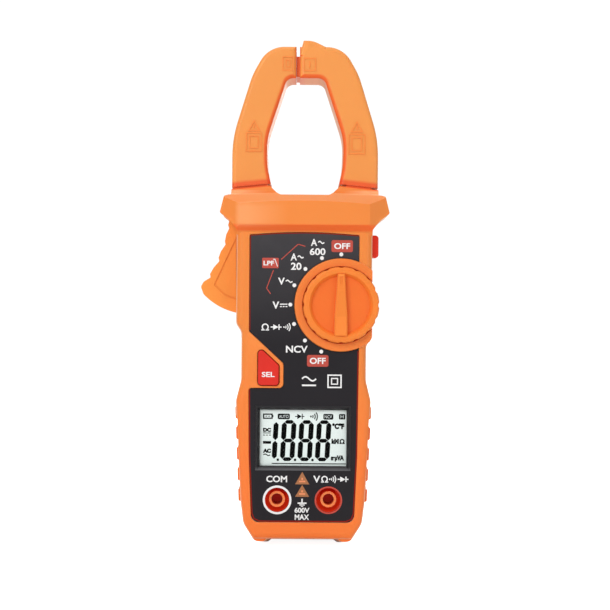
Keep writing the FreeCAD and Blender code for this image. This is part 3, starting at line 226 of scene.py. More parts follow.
# ---------------------------------------------------------------- finishes
class Finish:
    """A material on one Principled shader, with a few layers added from its nodes."""

    def __init__(self, name, colour, rough, metal=0.0, specular=0.5):
        self.material = bpy.data.materials.new(name)
        self.material.use_nodes = True
        self.tree = self.material.node_tree
        self.shader = self.tree.nodes["Principled BSDF"]
        self.shader.inputs["Metallic"].default_value = metal
        self.shader.inputs["Roughness"].default_value = rough
        self.shader.inputs["Specular IOR Level"].default_value = specular
        self.shader.inputs["Base Color"].default_value = (*colour, 1)
        self.place = self.tree.nodes.new("ShaderNodeTexCoord").outputs["Object"]
        self.colour_out = None
        self.normal_out = None
        self.colour = colour

    def node(self, kind, **inputs):
        n = self.tree.nodes.new(kind)
        for key, value in inputs.items():
            n.inputs[key.replace("_", " ")].default_value = value
        return n

    def link(self, a, b):
        self.tree.links.new(a, b)

    def feed(self, socket, value):
        """Links the socket to another one, or sets it to a plain value."""
        if isinstance(value, bpy.types.NodeSocket):
            self.link(value, socket)
        else:
            socket.default_value = value

    def maths(self, operation, *values):
        """Result of one arithmetic step on sockets and plain numbers."""
        n = self.tree.nodes.new("ShaderNodeMath")
        n.operation = operation
        for socket, value in zip(n.inputs, values):
            self.feed(socket, value)
        return n.outputs["Value"]

    def vector_maths(self, operation, *values):
        """The same with vectors; a length and a dot product come out as numbers."""
        n = self.tree.nodes.new("ShaderNodeVectorMath")
        n.operation = operation
        for socket, value in zip(n.inputs, values):
            self.feed(socket, value)
        return n.outputs["Value" if operation in ("LENGTH", "DOT_PRODUCT") else "Vector"]

    def stretched(self, scale):
        n = self.node("ShaderNodeMapping")
        n.inputs["Scale"].default_value = scale
        self.link(self.place, n.inputs["Vector"])
        return n.outputs["Vector"]

    def noise(self, scale, detail=3.0, stretch=None):
        n = self.node("ShaderNodeTexNoise", Scale=scale, Detail=detail)
        self.link(self.stretched(stretch) if stretch else self.place, n.inputs["Vector"])
        return n.outputs["Fac"]

    def bands(self, direction, scale, distortion=0.0):
        n = self.node("ShaderNodeTexWave", Scale=scale, Distortion=distortion)
        n.bands_direction = direction
        self.link(self.place, n.inputs["Vector"])
        return n.outputs["Fac"]

    def spread(self, value, low, high):
        """The share of value between low and high, from 0 to 1."""
        n = self.node("ShaderNodeMapRange")
        n.inputs["From Min"].default_value = low
        n.inputs["From Max"].default_value = high
        self.link(value, n.inputs["Value"])
        return n.outputs["Result"]

    def along(self, axis):
        n = self.node("ShaderNodeSeparateXYZ")
        self.link(self.place, n.inputs["Vector"])
        return n.outputs[axis]

    def tint(self, share, colour, amount=1.0):
        """Mixes colour in where share is high."""
        n = self.tree.nodes.new("ShaderNodeMix")
        n.data_type = "RGBA"
        factor, first, second = (n.inputs[i] for i in (0, 6, 7))
        if self.colour_out:
            self.link(self.colour_out, first)
        else:
            first.default_value = (*self.colour, 1)
        second.default_value = (*colour, 1)
        self.link(self.maths("MULTIPLY", share, amount), factor)
        self.colour_out = n.outputs[2]
        self.link(self.colour_out, self.shader.inputs["Base Color"])
        return self

    def vary(self, scale=60, amount=0.5, darker=0.86):
        share = self.spread(self.noise(scale), 0.35, 0.7)
        return self.tint(share, tuple(c * darker for c in self.colour), amount)

    def roughen(self, scale, low, high):
        n = self.node("ShaderNodeMapRange")
        n.inputs["To Min"].default_value = low
        n.inputs["To Max"].default_value = high
        self.link(self.noise(scale), n.inputs["Value"])
        self.link(n.outputs["Result"], self.shader.inputs["Roughness"])
        return self

    def bump(self, height, strength=0.3, distance=0.00003):
        n = self.node("ShaderNodeBump", Strength=strength, Distance=distance)
        self.link(height, n.inputs["Height"])
        if self.normal_out:
            self.link(self.normal_out, n.inputs["Normal"])
        self.normal_out = n.outputs["Normal"]
        self.link(self.normal_out, self.shader.inputs["Normal"])
        return self

    def paint_rim_reflection(self, colour, low, high, amount):
        """Painted reflection: paler where the surface turns edge-on, as satin plastic reflecting a bright
        room looks.
        """
        n = self.node("ShaderNodeLayerWeight", Blend=0.5)
        return self.tint(self.spread(n.outputs["Facing"], low, high), colour, amount)

    def both(self, a, b):
        """High only where a and b are both high."""
        return self.maths("MULTIPLY", a, b)

    def away_from(self, axis, middle):
        """Distance from a place along one axis, on either side of it."""
        return self.maths("ABSOLUTE", self.maths("SUBTRACT", self.along(axis), middle))

    def near(self, axis, middle, reach):
        """High within reach of a place along one axis, falling off at twice the reach."""
        return self.spread(self.away_from(axis, middle), 2 * reach, reach)

    def foot_line(self):
        """Height above a line that falls outwards on both sides, as the seat of the jaws does."""
        return self.maths("MULTIPLY_ADD", self.away_from("X", CENTRE_X), SEAT_SLOPE, self.along("Z"))

    def facing_inwards(self, x, z):
        """How far the surface faces a line along Y through (x, z), from -1 to 1."""
        offset = self.vector_maths("SUBTRACT", self.place, (x, 0, z))
        towards = self.vector_maths("MULTIPLY", offset, (-1, 0, -1))
        normal = self.tree.nodes.new("ShaderNodeTexCoord").outputs["Normal"]
        return self.vector_maths("DOT_PRODUCT", self.vector_maths("NORMALIZE", towards), normal)

    def distance_from(self, x, z):
        """Distance from a line along Y through (x, z)."""
        offset = self.vector_maths("SUBTRACT", self.place, (x, 0, z))
        return self.vector_maths("LENGTH", self.vector_maths("MULTIPLY", offset, (1, 0, 1)))

    def glow(self, share, colour):
        """Painted glow: light of its own where share is high, standing in for light through thin plastic,
        though the part is no lamp.
        """
        self.shader.inputs["Emission Color"].default_value = (*colour, 1)
        self.feed(self.shader.inputs["Emission Strength"], share)
        return self

    def translucent(self, weight, depth):
        """Lets light through a little, so that narrow gaps glow instead of going black."""
        self.shader.inputs["Subsurface Weight"].default_value = weight
        self.shader.inputs["Subsurface Radius"].default_value = (1.0, 0.3, 0.1)
        self.shader.inputs["Subsurface Scale"].default_value = depth
        return self

    def worn(self, colour, amount=0.35):
        """Lighter along the edges, where hands rub it."""
        geometry = self.tree.nodes.new("ShaderNodeNewGeometry")
        return self.tint(self.spread(geometry.outputs["Pointiness"], 0.52, 0.62), colour, amount)


def plastic(name, colour, rough=0.42, light=1.25, specular=0.35):
    """Injection-moulded plastic with a fine spark-eroded grain."""
    f = Finish(name, colour, rough, specular=specular)
    f.vary(45, 0.35, 0.93)
    f.worn(tuple(min(1.0, c * light + 0.01) for c in colour), 0.3)
    f.roughen(300, rough - 0.06, rough + 0.08)
    f.bump(f.noise(1400, 2.0), 0.3, 0.00003)
    return f


def moulded(name, colour, rough=0.42, light=1.25):
    return plastic(name, colour, rough, light).material


# colours of painted light: rim reflection, highlights, shade in creases and gaps, and glow in gaps
RIM_REFLECTION_PALE = (0.95, 0.70, 0.52)
HIGHLIGHT_ORANGE = (0.92, 0.42, 0.19)
SHADE_ORANGE = (0.80, 0.105, 0.012)
FOOT_SHADE_RED = (0.75, 0.055, 0.008)
TONGUE_SHADE_ORANGE = (0.82, 0.09, 0.014)
SEAT_SLOPE = 0.103
GAP_GLOW_RED = (0.055, 0.003, 0.0006)
KNOB_AXIS = (KNOB_X * MM + CENTRE_X, KNOB_Z * MM)

# heights at which the painted shade and highlights of the case and the jaws lie
NECK_Z = 0.1182
GUARD_Z = 0.1230
SHELF_Z = 0.1316
SEAT_Z = 0.1353
JAW_FOOT_Z = 0.1378
WINDOW_Z = 0.150
TONGUE_Z = 0.167


def case_plastic():
    """Case: painted shade makes it redder at its foot, in the neck under the hand guard, at the jaws' seat
    and round the knob's ring; painted highlights on the guard's left and the ends of its shelf; a painted
    reflection where it turns edge-on; a painted glow in the knob's well."""
    f = plastic("case_orange", ORANGE, specular=0.25)
    # painted shade: redder towards the foot
    f.tint(f.spread(f.along("Z"), 0.078, 0.030), LOW_SHADE_ORANGE, 1.0)
    # painted shade in the neck under the hand guard
    neck = f.both(f.near("Z", NECK_Z, 0.0008), f.spread(f.along("Y"), -0.0120, -0.0130))
    f.tint(neck, SHADE_ORANGE, 0.75)
    # painted highlight on the left part of the hand guard's band
    guard = f.both(f.near("Z", GUARD_Z, 0.0028), f.spread(f.along("Y"), -0.0160, -0.0170))
    guard_left_highlight = f.spread(f.along("X"), CENTRE_X - 0.006, CENTRE_X - 0.021)
    f.tint(f.both(guard, guard_left_highlight), HIGHLIGHT_ORANGE, 0.45)
    # painted highlights at both ends of the shelf under the jaws
    shelf = f.both(f.near("Z", SHELF_Z, 0.0006), f.spread(f.along("Y"), -0.0030, -0.0050))
    shelf_left_highlight = f.spread(f.along("X"), CENTRE_X - 0.014, CENTRE_X - 0.024)
    shelf_right_highlight = f.spread(f.along("X"), CENTRE_X + 0.014, CENTRE_X + 0.022)
    f.tint(f.both(shelf, shelf_left_highlight), HIGHLIGHT_ORANGE, 0.8)
    f.tint(f.both(shelf, shelf_right_highlight), HIGHLIGHT_ORANGE, 0.9)
    # painted shade where the jaws' feet sit in the collar
    f.tint(f.spread(f.foot_line(), SEAT_Z - 0.00015, SEAT_Z + 0.00015), SHADE_ORANGE, 0.9)
    # painted reflection on surfaces that turn edge-on
    f.paint_rim_reflection(RIM_REFLECTION_PALE, 0.40, 0.9, 0.7)
    from_knob = f.distance_from(*KNOB_AXIS)
    # painted shade round the outer edge of the knob's ring
    ring_edge_shade = f.both(f.spread(from_knob, 0.0180, 0.0176), f.spread(f.along("Y"), -0.0150, -0.0153))
    f.tint(ring_edge_shade, SHADE_ORANGE, 0.2)
    # painted glow in the gap between the knob and its well
    well = f.both(f.spread(f.along("Y"), -0.0156, -0.0150), f.spread(f.along("Y"), -0.0070, -0.0078))
    f.glow(f.both(f.spread(from_knob, 0.0146, 0.0144), well), GAP_GLOW_RED)
    f.translucent(0.15, 0.0012)
    return f.material


def jaw_plastic():
    """Jaw shells, with painted shade round the window between them, at the foot and in the tip's gap, and a
    painted reflection where they turn edge-on.
    """
    f = plastic("jaw_orange", JAW_ORANGE, 0.46)
    front = JAW_Y * MM
    # painted shade on the front edges that face the window between the jaws
    inner_edge_shade = f.spread(f.facing_inwards(CENTRE_X, WINDOW_Z), 0.10, 0.4)
    f.tint(f.both(inner_edge_shade, f.spread(f.along("Y"), front + 0.0026, front + 0.0016)), SHADE_ORANGE, 0.85)
    # painted shade at the foot of the jaws, where they enter the collar
    foot = f.spread(f.foot_line(), JAW_FOOT_Z + 0.0011, JAW_FOOT_Z)
    f.tint(f.both(foot, f.spread(f.along("Y"), front + 0.004, front + 0.002)), FOOT_SHADE_RED, 0.75)
    # painted shade on the tongue in the gap between the jaw tips
    tongue_shade = f.both(f.near("X", TIP_X, 0.0016), f.spread(f.along("Y"), front + 0.0006, front + 0.0012))
    in_gap = f.spread(f.along("Z"), TONGUE_Z - 0.001, TONGUE_Z + 0.001)
    f.tint(f.both(tongue_shade, in_gap), TONGUE_SHADE_ORANGE, 0.7)
    # painted reflection on surfaces that turn edge-on
    f.paint_rim_reflection(RIM_REFLECTION_PALE, 0.70, 0.93, 0.85)
    f.translucent(0.15, 0.0012)
    return f.material


def knob_plastic():
    """Knob: painted shade down in its dish, a painted rim reflection, and a painted glow where its skirt
    stands in the well.
    """
    f = plastic("knob_orange", KNOB_ORANGE, 0.45, specular=0.25)
    front = KNOB_LOW.y
    # painted shade down in the knob's dish
    f.tint(f.spread(f.along("Y"), front + 0.0008, front + 0.0020), SHADE_ORANGE, 0.5)
    # painted reflection on surfaces that turn edge-on
    f.paint_rim_reflection(RIM_REFLECTION_PALE, 0.8, 0.97, 0.4)
    # painted glow where the knob's skirt stands in the well
    f.glow(f.spread(f.along("Y"), -0.0160, -0.0154), GAP_GLOW_RED)
    f.translucent(0.15, 0.0012)
    return f.material


def socket_plastic():
    """Red shroud, partly translucent, with a painted glow that stands in for light inside it."""
    f = plastic("socket_red", (0.50, 0.030, 0.010), 0.4)
    f.translucent(0.3, 0.004)
    # painted glow inside the shroud
    f.glow(0.55, (0.42, 0.018, 0.004))
    return f.material


def post_plastic():
    """Orange sleeve round the contact, with painted shade that turns it red where it goes down into the
    shroud.
    """
    f = plastic("post_orange", (1.0, 0.25, 0.07), 0.4)
    # painted shade: red where the sleeve goes down into the shroud
    f.tint(f.spread(f.along("Y"), SOCKET_LOW.y + 0.0005, SOCKET_LOW.y + 0.002), (0.55, 0.03, 0.01), 0.9)
    f.translucent(0.25, 0.003)
    return f.material


def satin_panel():
    """Dark printed film, greyer towards its top."""
    f = Finish("panel_film", (0.011, 0.009, 0.012), 0.5, specular=0.22)
    f.tint(f.spread(f.along("Z"), 0.075, 0.118), (0.048, 0.045, 0.050), 1.0)
    f.tint(f.spread(f.noise(90), 0.4, 0.7), (0.015, 0.014, 0.017), 0.25)
    f.roughen(500, 0.42, 0.55)
    f.bump(f.noise(2600, 2.0), 0.25, 0.00002)
    return f.material


def bezel_plastic():
    """Dark frame of the display, with a painted highlight on the lip that faces upwards."""
    f = Finish("bezel_dark", (0.014, 0.013, 0.015), 0.45, specular=0.3)
    # painted highlight on the lip that faces upwards
    lip = f.spread(f.along("Z"), LCD_LOW.z + 0.0004, LCD_LOW.z - 0.0006)
    f.tint(lip, (0.10, 0.098, 0.105), 0.9)
    f.vary(90, 0.3, 0.7)
    f.bump(f.noise(2600, 2.0), 0.2, 0.00002)
    return f.material


def silicone(name, colour):
    f = Finish(name, colour, 0.5, specular=0.25)
    f.vary(70, 0.4, 0.8)
    f.roughen(400, 0.42, 0.55)
    f.bump(f.noise(2200, 2.0), 0.3, 0.00002)
    return f.material


def ink(name, colour, specular=0.5):
    f = Finish(name, colour, 0.5, specular=specular)
    f.vary(900, 0.25, 0.85)
    f.roughen(900, 0.4, 0.6)
    return f.material


def metal(name, colour, rough, direction=(30, 30, 900)):
    """Drawn or turned metal with fine scratches across one direction."""
    f = Finish(name, colour, rough, metal=1.0)
    scratches = f.noise(9, 4.0, direction)
    f.tint(f.spread(scratches, 0.35, 0.65), tuple(c * 0.75 for c in colour), 0.5)
    f.roughen(200, rough - 0.05, rough + 0.12)
    f.bump(scratches, 0.25, 0.00002)
    return f.material


def shaded_brass():
    """Brass deep in a red sleeve, painted as seen in red light: dark red, with a painted glow and a lighter
    red towards the bottom.
    """
    f = Finish("shaded_brass", (0.16, 0.012, 0.010), 0.45, metal=0.3)
    # painted light: lighter red towards the bottom of the contact
    f.tint(f.spread(f.along("Z"), SOCKET_LOW.z + 0.0036, SOCKET_LOW.z + 0.0014), (0.65, 0.08, 0.02), 0.9)
    f.bump(f.noise(9, 4.0, (30, 900, 30)), 0.25, 0.00002)
    # painted glow
    f.glow(0.6, (0.16, 0.008, 0.006))
    return f.material


def laminated_core():
    f = Finish("core_steel", (0.22, 0.22, 0.24), 0.45, metal=0.9)
    sheets = f.bands("Y", 900)
    f.tint(sheets, (0.08, 0.08, 0.09), 0.7)
    f.bump(sheets, 0.5, 0.00004)
    return f.material


def winding():
    f = Finish("copper_winding", (0.55, 0.20, 0.07), 0.32, metal=0.8)
    turns = f.bands("Z", 800)
    f.tint(turns, (0.25, 0.07, 0.02), 0.7)
    f.bump(turns, 0.7, 0.00008)
    return f.material


def board():
    """Solder mask over copper runs, which show as slightly raised lighter lines."""
    f = Finish("circuit_board", (0.012, 0.11, 0.045), 0.35)
    cells = f.node("ShaderNodeTexVoronoi", Scale=260.0)
    cells.distance = "MANHATTAN"
    cells.feature = "DISTANCE_TO_EDGE"
    f.link(f.place, cells.inputs["Vector"])
    runs = f.spread(cells.outputs["Distance"], 0.10, 0.06)
    f.tint(runs, (0.03, 0.22, 0.09), 0.8)
    f.bump(runs, 0.4, 0.00004)
    f.roughen(300, 0.28, 0.42)
    return f.material


def cell_wrap():
    """Plain two-tone battery wrap."""
    f = Finish("cell_wrap", (0.02, 0.025, 0.04), 0.3)
    f.tint(f.spread(f.along("Z"), 0.0555, 0.0557), (0.55, 0.33, 0.12), 1.0)
    f.vary(120, 0.2, 0.8)
    f.roughen(200, 0.22, 0.38)
    f.bump(f.noise(500), 0.1, 0.00002)
    return f.material


def clear_lens():
    f = Finish("clear_lens", (0.10, 0.11, 0.11), 0.04)
    f.shader.inputs["Alpha"].default_value = 0.012
    f.bump(f.noise(60, 1.0), 0.05, 0.00002)
    f.roughen(80, 0.02, 0.06)
    return f.material


def lcd_surface():
    """Reflective display: pale grey-green, lighter towards its top."""
    f = Finish("lcd_glass", (0.74, 0.83, 0.80), 0.3, specular=0.3)
    f.tint(f.spread(f.along("Z"), 0.028, 0.054), (0.82, 0.90, 0.88), 1.0)
    f.tint(f.noise(3000, 1.0), (0.66, 0.75, 0.72), 0.15)
    f.roughen(400, 0.25, 0.35)
    return f.material


ORANGE = (0.79, 0.232, 0.044)
LOW_SHADE_ORANGE = (0.86, 0.195, 0.034)
JAW_ORANGE = (0.785, 0.283, 0.060)
KNOB_ORANGE = (0.81, 0.212, 0.029)
MATERIALS = {
    "case_orange": case_plastic(),
    "jaw_orange": jaw_plastic(),
    "knob_orange": knob_plastic(),
    "panel_dark": satin_panel(),
    "button_red": silicone("button_red", (0.66, 0.022, 0.012)),
    "socket_red": socket_plastic(),
    "post_orange": post_plastic(),
    "lens_clear": clear_lens(),
    "lcd_grey": lcd_surface(),
    "white_plastic": moulded("white_plastic", (0.72, 0.72, 0.69), 0.4, 1.05),
    "black_plastic": moulded("black_plastic", (0.015, 0.015, 0.016), 0.4, 1.6),
    "board_green": board(),
    "gold_contact": metal("gold_contact", (0.80, 0.55, 0.20), 0.25),
    "brass": metal("brass", (0.72, 0.50, 0.22), 0.3, (30, 900, 30)),
    "steel": metal("steel", (0.55, 0.55, 0.57), 0.32, (30, 900, 30)),
    "spring_steel": metal("spring_steel", (0.42, 0.42, 0.44), 0.35),
    "nickel": metal("nickel", (0.68, 0.66, 0.62), 0.22),
    "core_steel": laminated_core(),
    "copper": winding(),
    "cell_wrap": cell_wrap(),
    "strip_rubber": silicone("strip_rubber", (0.35, 0.10, 0.10)),
    "sensor_green": moulded("sensor_green", (0.02, 0.13, 0.04), 0.25),
}
WHITE_INK = ink("white_ink", (0.80, 0.80, 0.80))
RED_INK = ink("red_ink", (0.46, 0.052, 0.032))
RIM_RED_INK = ink("rim_red_ink", (0.52, 0.050, 0.028))
BROWN_INK = ink("brown_ink", (0.36, 0.135, 0.045))
ORANGE_INK = ink("orange_ink", (0.78, 0.25, 0.10))
# dark red painted shadow for the gap round the panel
GAP_SHADE_PAINT = ink("painted_gap_shade", (0.26, 0.012, 0.004), 0.1)
SEGMENT_INK = ink("segment_ink", (0.003, 0.003, 0.003), 0.0)
FAINT_SEGMENT_INK = ink("faint_segment_ink", (0.07, 0.08, 0.075), 0.0)

# a few nodes look different from the rest of their slot
SHADED_BRASS = shaded_brass()
SPECIAL = {
    "display_bezel": bezel_plastic(),
    "hold_button": silicone("side_button_red", (0.84, 0.038, 0.015)),
    "trigger": plastic("trigger_orange", (0.84, 0.262, 0.042), specular=0.25).material,
    "com_contact": SHADED_BRASS,
    "volt_contact": SHADED_BRASS,
}
slot_of = {row["node"]: row["material_slot"] for row in frame["record"]["subparts"]}
for node, piece in frame["nodes"].items():
    piece.data.materials.clear()
    piece.data.materials.append(SPECIAL.get(node) or MATERIALS[slot_of[node]])


# ---------------------------------------------------------------- printing on the face
def dial_print():
    """Function marks round the selector, one dot for each position."""
    white = []
    for i in range(8):
        a = math.radians(90 + 22.5 * i)
        white += disc(KNOB_X + 18.65 * math.cos(a), KNOB_Z + 18.65 * math.sin(a), 0.72, 20)
    white += words("A", 2.3, 4.6, 111.6, 114.2) + tilde(5.0, 7.2, 112.9, 0.8, 0.42)
    white += words("600", 1.9, 7.7, 108.2, 110.8)
    white += words("A", -5.1, -2.8, 106.2, 108.8) + tilde(-2.5, -0.4, 107.5, 0.8, 0.42)
    white += words("20", -5.0, -1.1, 102.7, 105.4)
    white += words("V", -9.7, -7.2, 97.2, 99.8) + tilde(-6.8, -4.4, 98.5, 0.8, 0.42)
    white += words("V", -11.7, -9.2, 88.3, 91.0) + dc_mark(-8.9, -6.2, 89.6, 0.38)
    white += omega(-15.7, -12.9, 80.3, 82.9, 0.46)
    white += diode(-12.3, -8.3, 81.6, 2.0, 0.4) + sound(-7.4, 81.6, 2.3, 0.36)
    white += words("NCV", -6.6, 1.4, 72.2, 74.8)
    return white


def symbols():
    """Wave over bar, double square, ground sign and the input range."""
    white = frame_line(9.0, 13.8, 59.5, 64.0, 0.5) + frame_line(10.3, 12.5, 60.7, 62.8, 0.42)
    white += tilde(-0.6, 4.6, 62.6, 1.5, 0.55) + rect(-0.6, 4.6, 59.9, 60.5)
    white += rect(-0.5, 0.0, 17.0, 18.4) + rect(-1.9, 1.4, 16.5, 17.0)
    white += rect(-1.2, 0.7, 15.9, 16.3) + rect(-0.65, 0.15, 15.4, 15.7)
    white += words("600V", -3.0, 2.5, 13.2, 15.1, 0.03)
    white += words("MAX", -2.9, 2.4, 10.6, 12.6, 0.03)
    return white


def socket_print():
    white = words("COM", -13.5, -5.8, 24.4, 26.8)
    white += words("V", 3.8, 6.4, 24.4, 26.9) + omega(6.7, 9.3, 24.4, 26.9, 0.46)
    white += sound(9.9, 25.65, 2.2, 0.36) + diode(12.8, 16.8, 25.65, 2.0, 0.4)
    white += ring(-SOCKET_X, SOCKET_Z, 4.52, 5.3)
    return white


def off_box(x0, x1, z0, z1):
    return rounded_rect(x0, x1, z0, z1, 0.7)


def red_marks():
    red = off_box(9.9, 17.8, 109.4, 113.8) + off_box(1.2, 9.1, 67.1, 71.4)
    red += rounded_rect(-15.6, -9.5, 103.3, 107.1, 0.4)
    red += stroke([(-8.6, 106.5), (-2.4, 112.2)], 0.32) + stroke([(-2.4, 112.2), (0.3, 111.4)], 0.32)
    red += stroke([(-11.4, 102.6), (-13.9, 95.9)], 0.32) + stroke([(-13.9, 95.9), (-12.4, 93.8)], 0.32)
    return red


def over_red():
    over = words("OFF", 10.9, 16.8, 110.5, 112.7) + words("OFF", 2.2, 8.1, 68.1, 70.4)
    over += words("LPF", -15.1, -11.2, 104.3, 106.0)
    return over + stroke([(-11.6, 106.6), (-10.9, 106.6), (-9.9, 103.9)], 0.28)


FACE = PANEL_Y - INK_LIFT
build("print_white", dial_print() + symbols() + socket_print(), FACE, "case", WHITE_INK)
build("print_red", red_marks(), FACE, "case", RED_INK)
build("print_over_red", over_red(), FACE - INK_LIFT, "case", WHITE_INK)
build("print_socket_ring", ring(SOCKET_X, SOCKET_Z, 4.52, 5.08), FACE, "case", RIM_RED_INK)


def triangle_marks():
    """Two warning triangles, one over the other, each with a plain bar and foot."""
    outer, inner = [], []
    for low, high in ((23.7, 28.3), (19.1, 23.5)):
        outer += [[(-2.85, low), (2.35, low), (-0.25, high)]]
        inner += rect(-1.4, 0.9, low + 0.75, low + 1.35) + rect(-0.55, 0.05, low + 1.6, low + 2.4)
    return outer, inner


TRIANGLES, TRIANGLE_BARS = triangle_marks()
build("print_triangles", TRIANGLES, FACE, "case", BROWN_INK)
build("print_triangle_bars", TRIANGLE_BARS, FACE - INK_LIFT, "case", ORANGE_INK)


def gap_shade_lines():
    """Painted shadow line round the panel, where the gap to the case lies in shade: up the lower left, round
    the foot and the right, and over the top.
    """
    lower_left = [(-19.95, 58.6), (-19.7, 34.0), (-18.7, 12.9), (-17.9, 10.9), (-16.0, 10.08), (-12.0, 10.0)]
    foot_and_right = [(-12.0, 10.0), (16.0, 10.08), (17.9, 10.9), (18.7, 12.9), (19.7, 34.0), (20.05, 73.0)]
    upper = [(-19.95, 80.5), (-19.95, 115.4), (-10.0, 116.1), (0.0, 116.35), (10.0, 116.1), (19.95, 115.4)]
    return stroke(lower_left, 0.45) + stroke(foot_and_right, 0.45) + stroke(upper, 0.3)


# painted shadow along the panel's edge
build("panel_gap_shade", gap_shade_lines(), FACE, "case", GAP_SHADE_PAINT)
SEL_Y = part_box("sel_button")[0].y / MM
build("print_sel", words("SEL", -15.4, -10.7, 63.2, 65.1), SEL_Y - INK_LIFT, "sel_key", WHITE_INK)


# ---------------------------------------------------------------- display
LCD_SLANT = 0.053
BAR = 1.85
FLAT_BAR = 1.4


def digit(x0, x1, z0, z1, lit):
    """Seven-segment digit; lit names the segments from a to g."""
    gap = 0.09
    mid = (z0 + z1) / 2
    flat = {"a": z1 - FLAT_BAR / 2, "g": mid, "d": z0 + FLAT_BAR / 2}
    upright = {"f": (x0, mid, z1), "b": (x1, mid, z1), "e": (x0, z0, mid), "c": (x1, z0, mid)}
    shapes = []
    for name, z in flat.items():
        if name in lit:
            a, b = x0 + BAR / 2 + gap, x1 - BAR / 2 - gap
            h = FLAT_BAR / 2
            under = [(a, z), (a + h, z - h), (b - h, z - h)]
            shapes.append(under + [(b, z), (b - h, z + h), (a + h, z + h)])
    for name, (x, low, high) in upright.items():
        if name in lit:
            side = 1 if x == x0 else -1
            cx = x + side * BAR / 2
            a = low + (FLAT_BAR / 2 if low == z0 else 0) + gap
            b = high - (FLAT_BAR / 2 if high == z1 else 0) - gap
            h = BAR / 2
            right = [(cx, a), (cx + h, a + h), (cx + h, b - h)]
            shapes.append(right + [(cx, b), (cx - h, b - h), (cx - h, a + h)])
    return [[(px + (pz - z0) * LCD_SLANT, pz) for px, pz in cell] for cell in shapes]


def digits():
    low, high = 31.95, 47.15
    shapes = digit(-13.2, -9.85, low, high, "bc")
    for x0 in (-8.65, -2.2, 4.3):
        shapes += digit(x0, x0 + 5.4, low, high, "abcdefg")
    for x in (-9.35, -2.95, 3.5):
        shapes += rounded_rect(x - 0.42, x + 0.42, low, low + 0.9, 0.2)
    return shapes


def side_marks():
    shapes = words("DC", -14.9, -11.9, 42.7, 44.2, 0.08) + dc_mark(-14.9, -12.0, 41.9, 0.3)
    shapes += rect(-14.9, -11.9, 38.3, 39.3)
    shapes += words("AC", -14.9, -11.9, 34.9, 36.5, 0.08) + tilde(-14.7, -12.2, 34.2, 0.55, 0.4)
    shapes += words("°C°F", 10.7, 15.2, 43.9, 46.1, 0.08)
    shapes += words("kM", 10.5, 13.2, 38.4, 40.3, 0.08) + omega(13.4, 15.4, 38.4, 40.3, 0.44)
    shapes += words("mµVA", 10.3, 15.2, 31.9, 34.2, 0.08)
    return shapes + rect(-11.6, 15.9, 30.85, 31.2)


def icon_row():
    """Battery and diode icons along the top; the sounder and the range, field sensing and hold pills are
    drawn apart.
    """
    z0, z1 = 47.5, 49.5
    mid = (z0 + z1) / 2
    shapes = frame_line(-14.7, -11.6, z0 + 0.25, z1 - 0.25, 0.5)
    shapes += rect(-11.4, -11.1, mid - 0.4, mid + 0.4)
    shapes += rect(-14.1, -13.3, mid - 0.15, mid + 0.15) + rect(-13.0, -12.3, mid - 0.15, mid + 0.15)
    return shapes + diode(-3.1, 0.4, mid, 2.0, 0.34)


def pills():
    shapes = rounded_rect(-9.5, -5.0, 47.4, 49.5, 0.5) + rounded_rect(7.4, 11.1, 47.4, 49.5, 0.5)
    return shapes + rounded_rect(13.2, 15.5, 47.5, 49.5, 0.3)


def pill_words():
    shapes = words("AUTO", -9.0, -5.5, 47.9, 49.0, 0.0) + words("NCV", 7.9, 10.6, 47.9, 49.0, 0.0)
    return shapes + words("H", 13.8, 14.9, 47.9, 49.1, 0.0)


SEGMENTS_Y = GLASS_Y - 0.02
build("lcd_segments", digits() + side_marks() + icon_row() + pills(), SEGMENTS_Y, "case", SEGMENT_INK)
build("lcd_sounder", sound(2.8, 48.5, 2.4, 0.45), SEGMENTS_Y, "case", FAINT_SEGMENT_INK)
build("lcd_pill_words", pill_words(), SEGMENTS_Y - 0.02, "case", MATERIALS["lcd_grey"])


# ---------------------------------------------------------------- moulded marks on the jaws
def hazard_arrow(x, z, mirror):
    """Raised triangle with an upright bar, pointing along the arm."""
    s = -1 if mirror else 1
    shapes = stroke([(x - 2.0, z - 1.8), (x + 2.0, z - 1.8), (x, z + 1.9)], 0.35, closed=True)
    return shapes + stroke([(x + s * 0.1, z - 1.0), (x, z + 0.6)], 0.35)


def box_mark(x, z, half_x, half_z):
    shapes = frame_line(x - half_x, x + half_x, z - half_z, z + half_z, 0.35)
    return shapes + frame_line(x - half_x + 1.2, x + half_x - 1.2, z - half_z + 1.2, z + half_z - 1.2, 0.3)


RELIEF = 0.3
MARK_ORANGE = moulded("jaw_mark", (0.79, 0.225, 0.040), 0.5)
left_marks = hazard_arrow(-19.2, 156.8, True) + box_mark(-19.3, 150.7, 2.8, 3.4)
left_marks += box_mark(-6.7, 180.2, 1.9, 2.5)
right_marks = hazard_arrow(19.3, 156.6, False) + box_mark(19.3, 150.2, 3.0, 3.6)
right_marks += frame_line(-0.7, 3.6, 177.6, 182.2, 0.35) + rect(1.2, 1.7, 178.7, 181.1)
build("jaw_marks_moving", left_marks, JAW_Y + 0.02, "jaw_lever", MARK_ORANGE, RELIEF)
build("jaw_marks_fixed", right_marks, JAW_Y + 0.02, "case", MARK_ORANGE, RELIEF)


# ---------------------------------------------------------------- torsion spring of the jaw
def bending_spring():
    """Copy of the spring that winds as the jaw opens, where one end turns with the lever and the other
    stays; the copy stands in for the original, which is hidden, and does not bend.
    """
    source = frame["nodes"]["jaw_spring"]
    mesh = source.data.copy()
    mesh.name = "jaw_torsion_spring"
    piece = bpy.data.objects.new("jaw_torsion_spring", mesh)
    bpy.context.scene.collection.objects.link(piece)
    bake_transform(piece)
    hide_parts("jaw_spring")


bending_spring()

# ---------------------------------------------------------------- studio
CAMERA_BACK = 0.475
CAMERA_HEIGHT = 0.0898
CAMERA_SIDE = 0.0003
CAMERA_LENS = 76.1
CAMERA_ROLL = -0.43


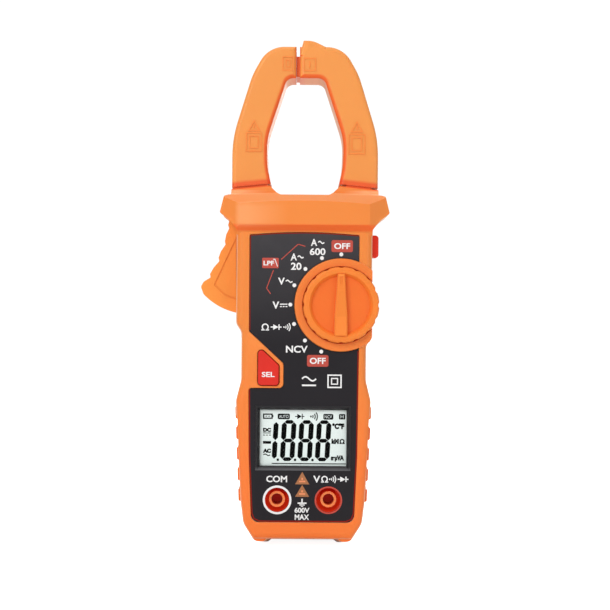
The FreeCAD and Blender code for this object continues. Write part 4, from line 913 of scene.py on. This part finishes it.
def camera():
    data = bpy.data.cameras.new("camera")
    data.lens = CAMERA_LENS
    data.sensor_width = 36.0
    data.clip_start, data.clip_end = 0.01, 20
    view = bpy.data.objects.new("camera", data)
    bpy.context.scene.collection.objects.link(view)
    face_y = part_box("front_case")[0].y + 0.0022
    view.location = (CENTRE_X + CAMERA_SIDE, face_y - CAMERA_BACK, CAMERA_HEIGHT)
    view.rotation_euler = (math.radians(90), math.radians(CAMERA_ROLL), 0)
    bpy.context.scene.camera = view


def soft_light(name, place, size, power, aim):
    data = bpy.data.lights.new(name, "AREA")
    data.shape = "RECTANGLE"
    data.size, data.size_y = size
    data.energy = power
    lamp = bpy.data.objects.new(name, data)
    bpy.context.scene.collection.objects.link(lamp)
    lamp.location = place
    lamp.rotation_euler = (Vector(aim) - Vector(place)).to_track_quat("-Z", "Y").to_euler()


def seen_brighter(tree, strength_input, lighting, seen):
    """Sets a strength that is higher where the camera sees it directly than in the light it gives."""
    path = tree.nodes.new("ShaderNodeLightPath")
    choice = tree.nodes.new("ShaderNodeMapRange")
    choice.inputs["To Min"].default_value = lighting
    choice.inputs["To Max"].default_value = seen
    tree.links.new(path.outputs["Is Camera Ray"], choice.inputs["Value"])
    tree.links.new(choice.outputs["Result"], strength_input)


def studio():
    bpy.context.scene.view_settings.view_transform = "Standard"
    world = bpy.data.worlds.new("studio")
    bpy.context.scene.world = world
    world.use_nodes = True
    background = world.node_tree.nodes["Background"]
    background.inputs["Color"].default_value = (1, 1, 1, 1)
    seen_brighter(world.node_tree, background.inputs["Strength"], 0.45, 1.05)
    middle = (CENTRE_X, 0, 0.095)
    soft_light("key", (-0.45, -0.75, 0.55), (0.5, 0.5), 4.85, middle)
    soft_light("fill", (0.60, -0.60, 0.15), (0.5, 0.6), 1.45, middle)
    soft_light("top", (0.0, -0.05, 0.85), (0.6, 0.6), 2.0, middle)
    soft_light("back", (0.30, 0.85, 0.45), (0.6, 0.6), 3.0, middle)
    bpy.ops.mesh.primitive_plane_add(size=6, location=(0, 0, -0.0002))
    floor = bpy.context.object
    floor.name = "floor"
    paper = Finish("paper", (0.92, 0.92, 0.91), 0.8)
    paper.vary(4, 0.2, 0.97)
    paper.shader.inputs["Emission Color"].default_value = (1, 1, 1, 1)
    seen_brighter(paper.tree, paper.shader.inputs["Emission Strength"], 0.0, 0.92)
    floor.data.materials.append(paper.material)


camera()
studio()
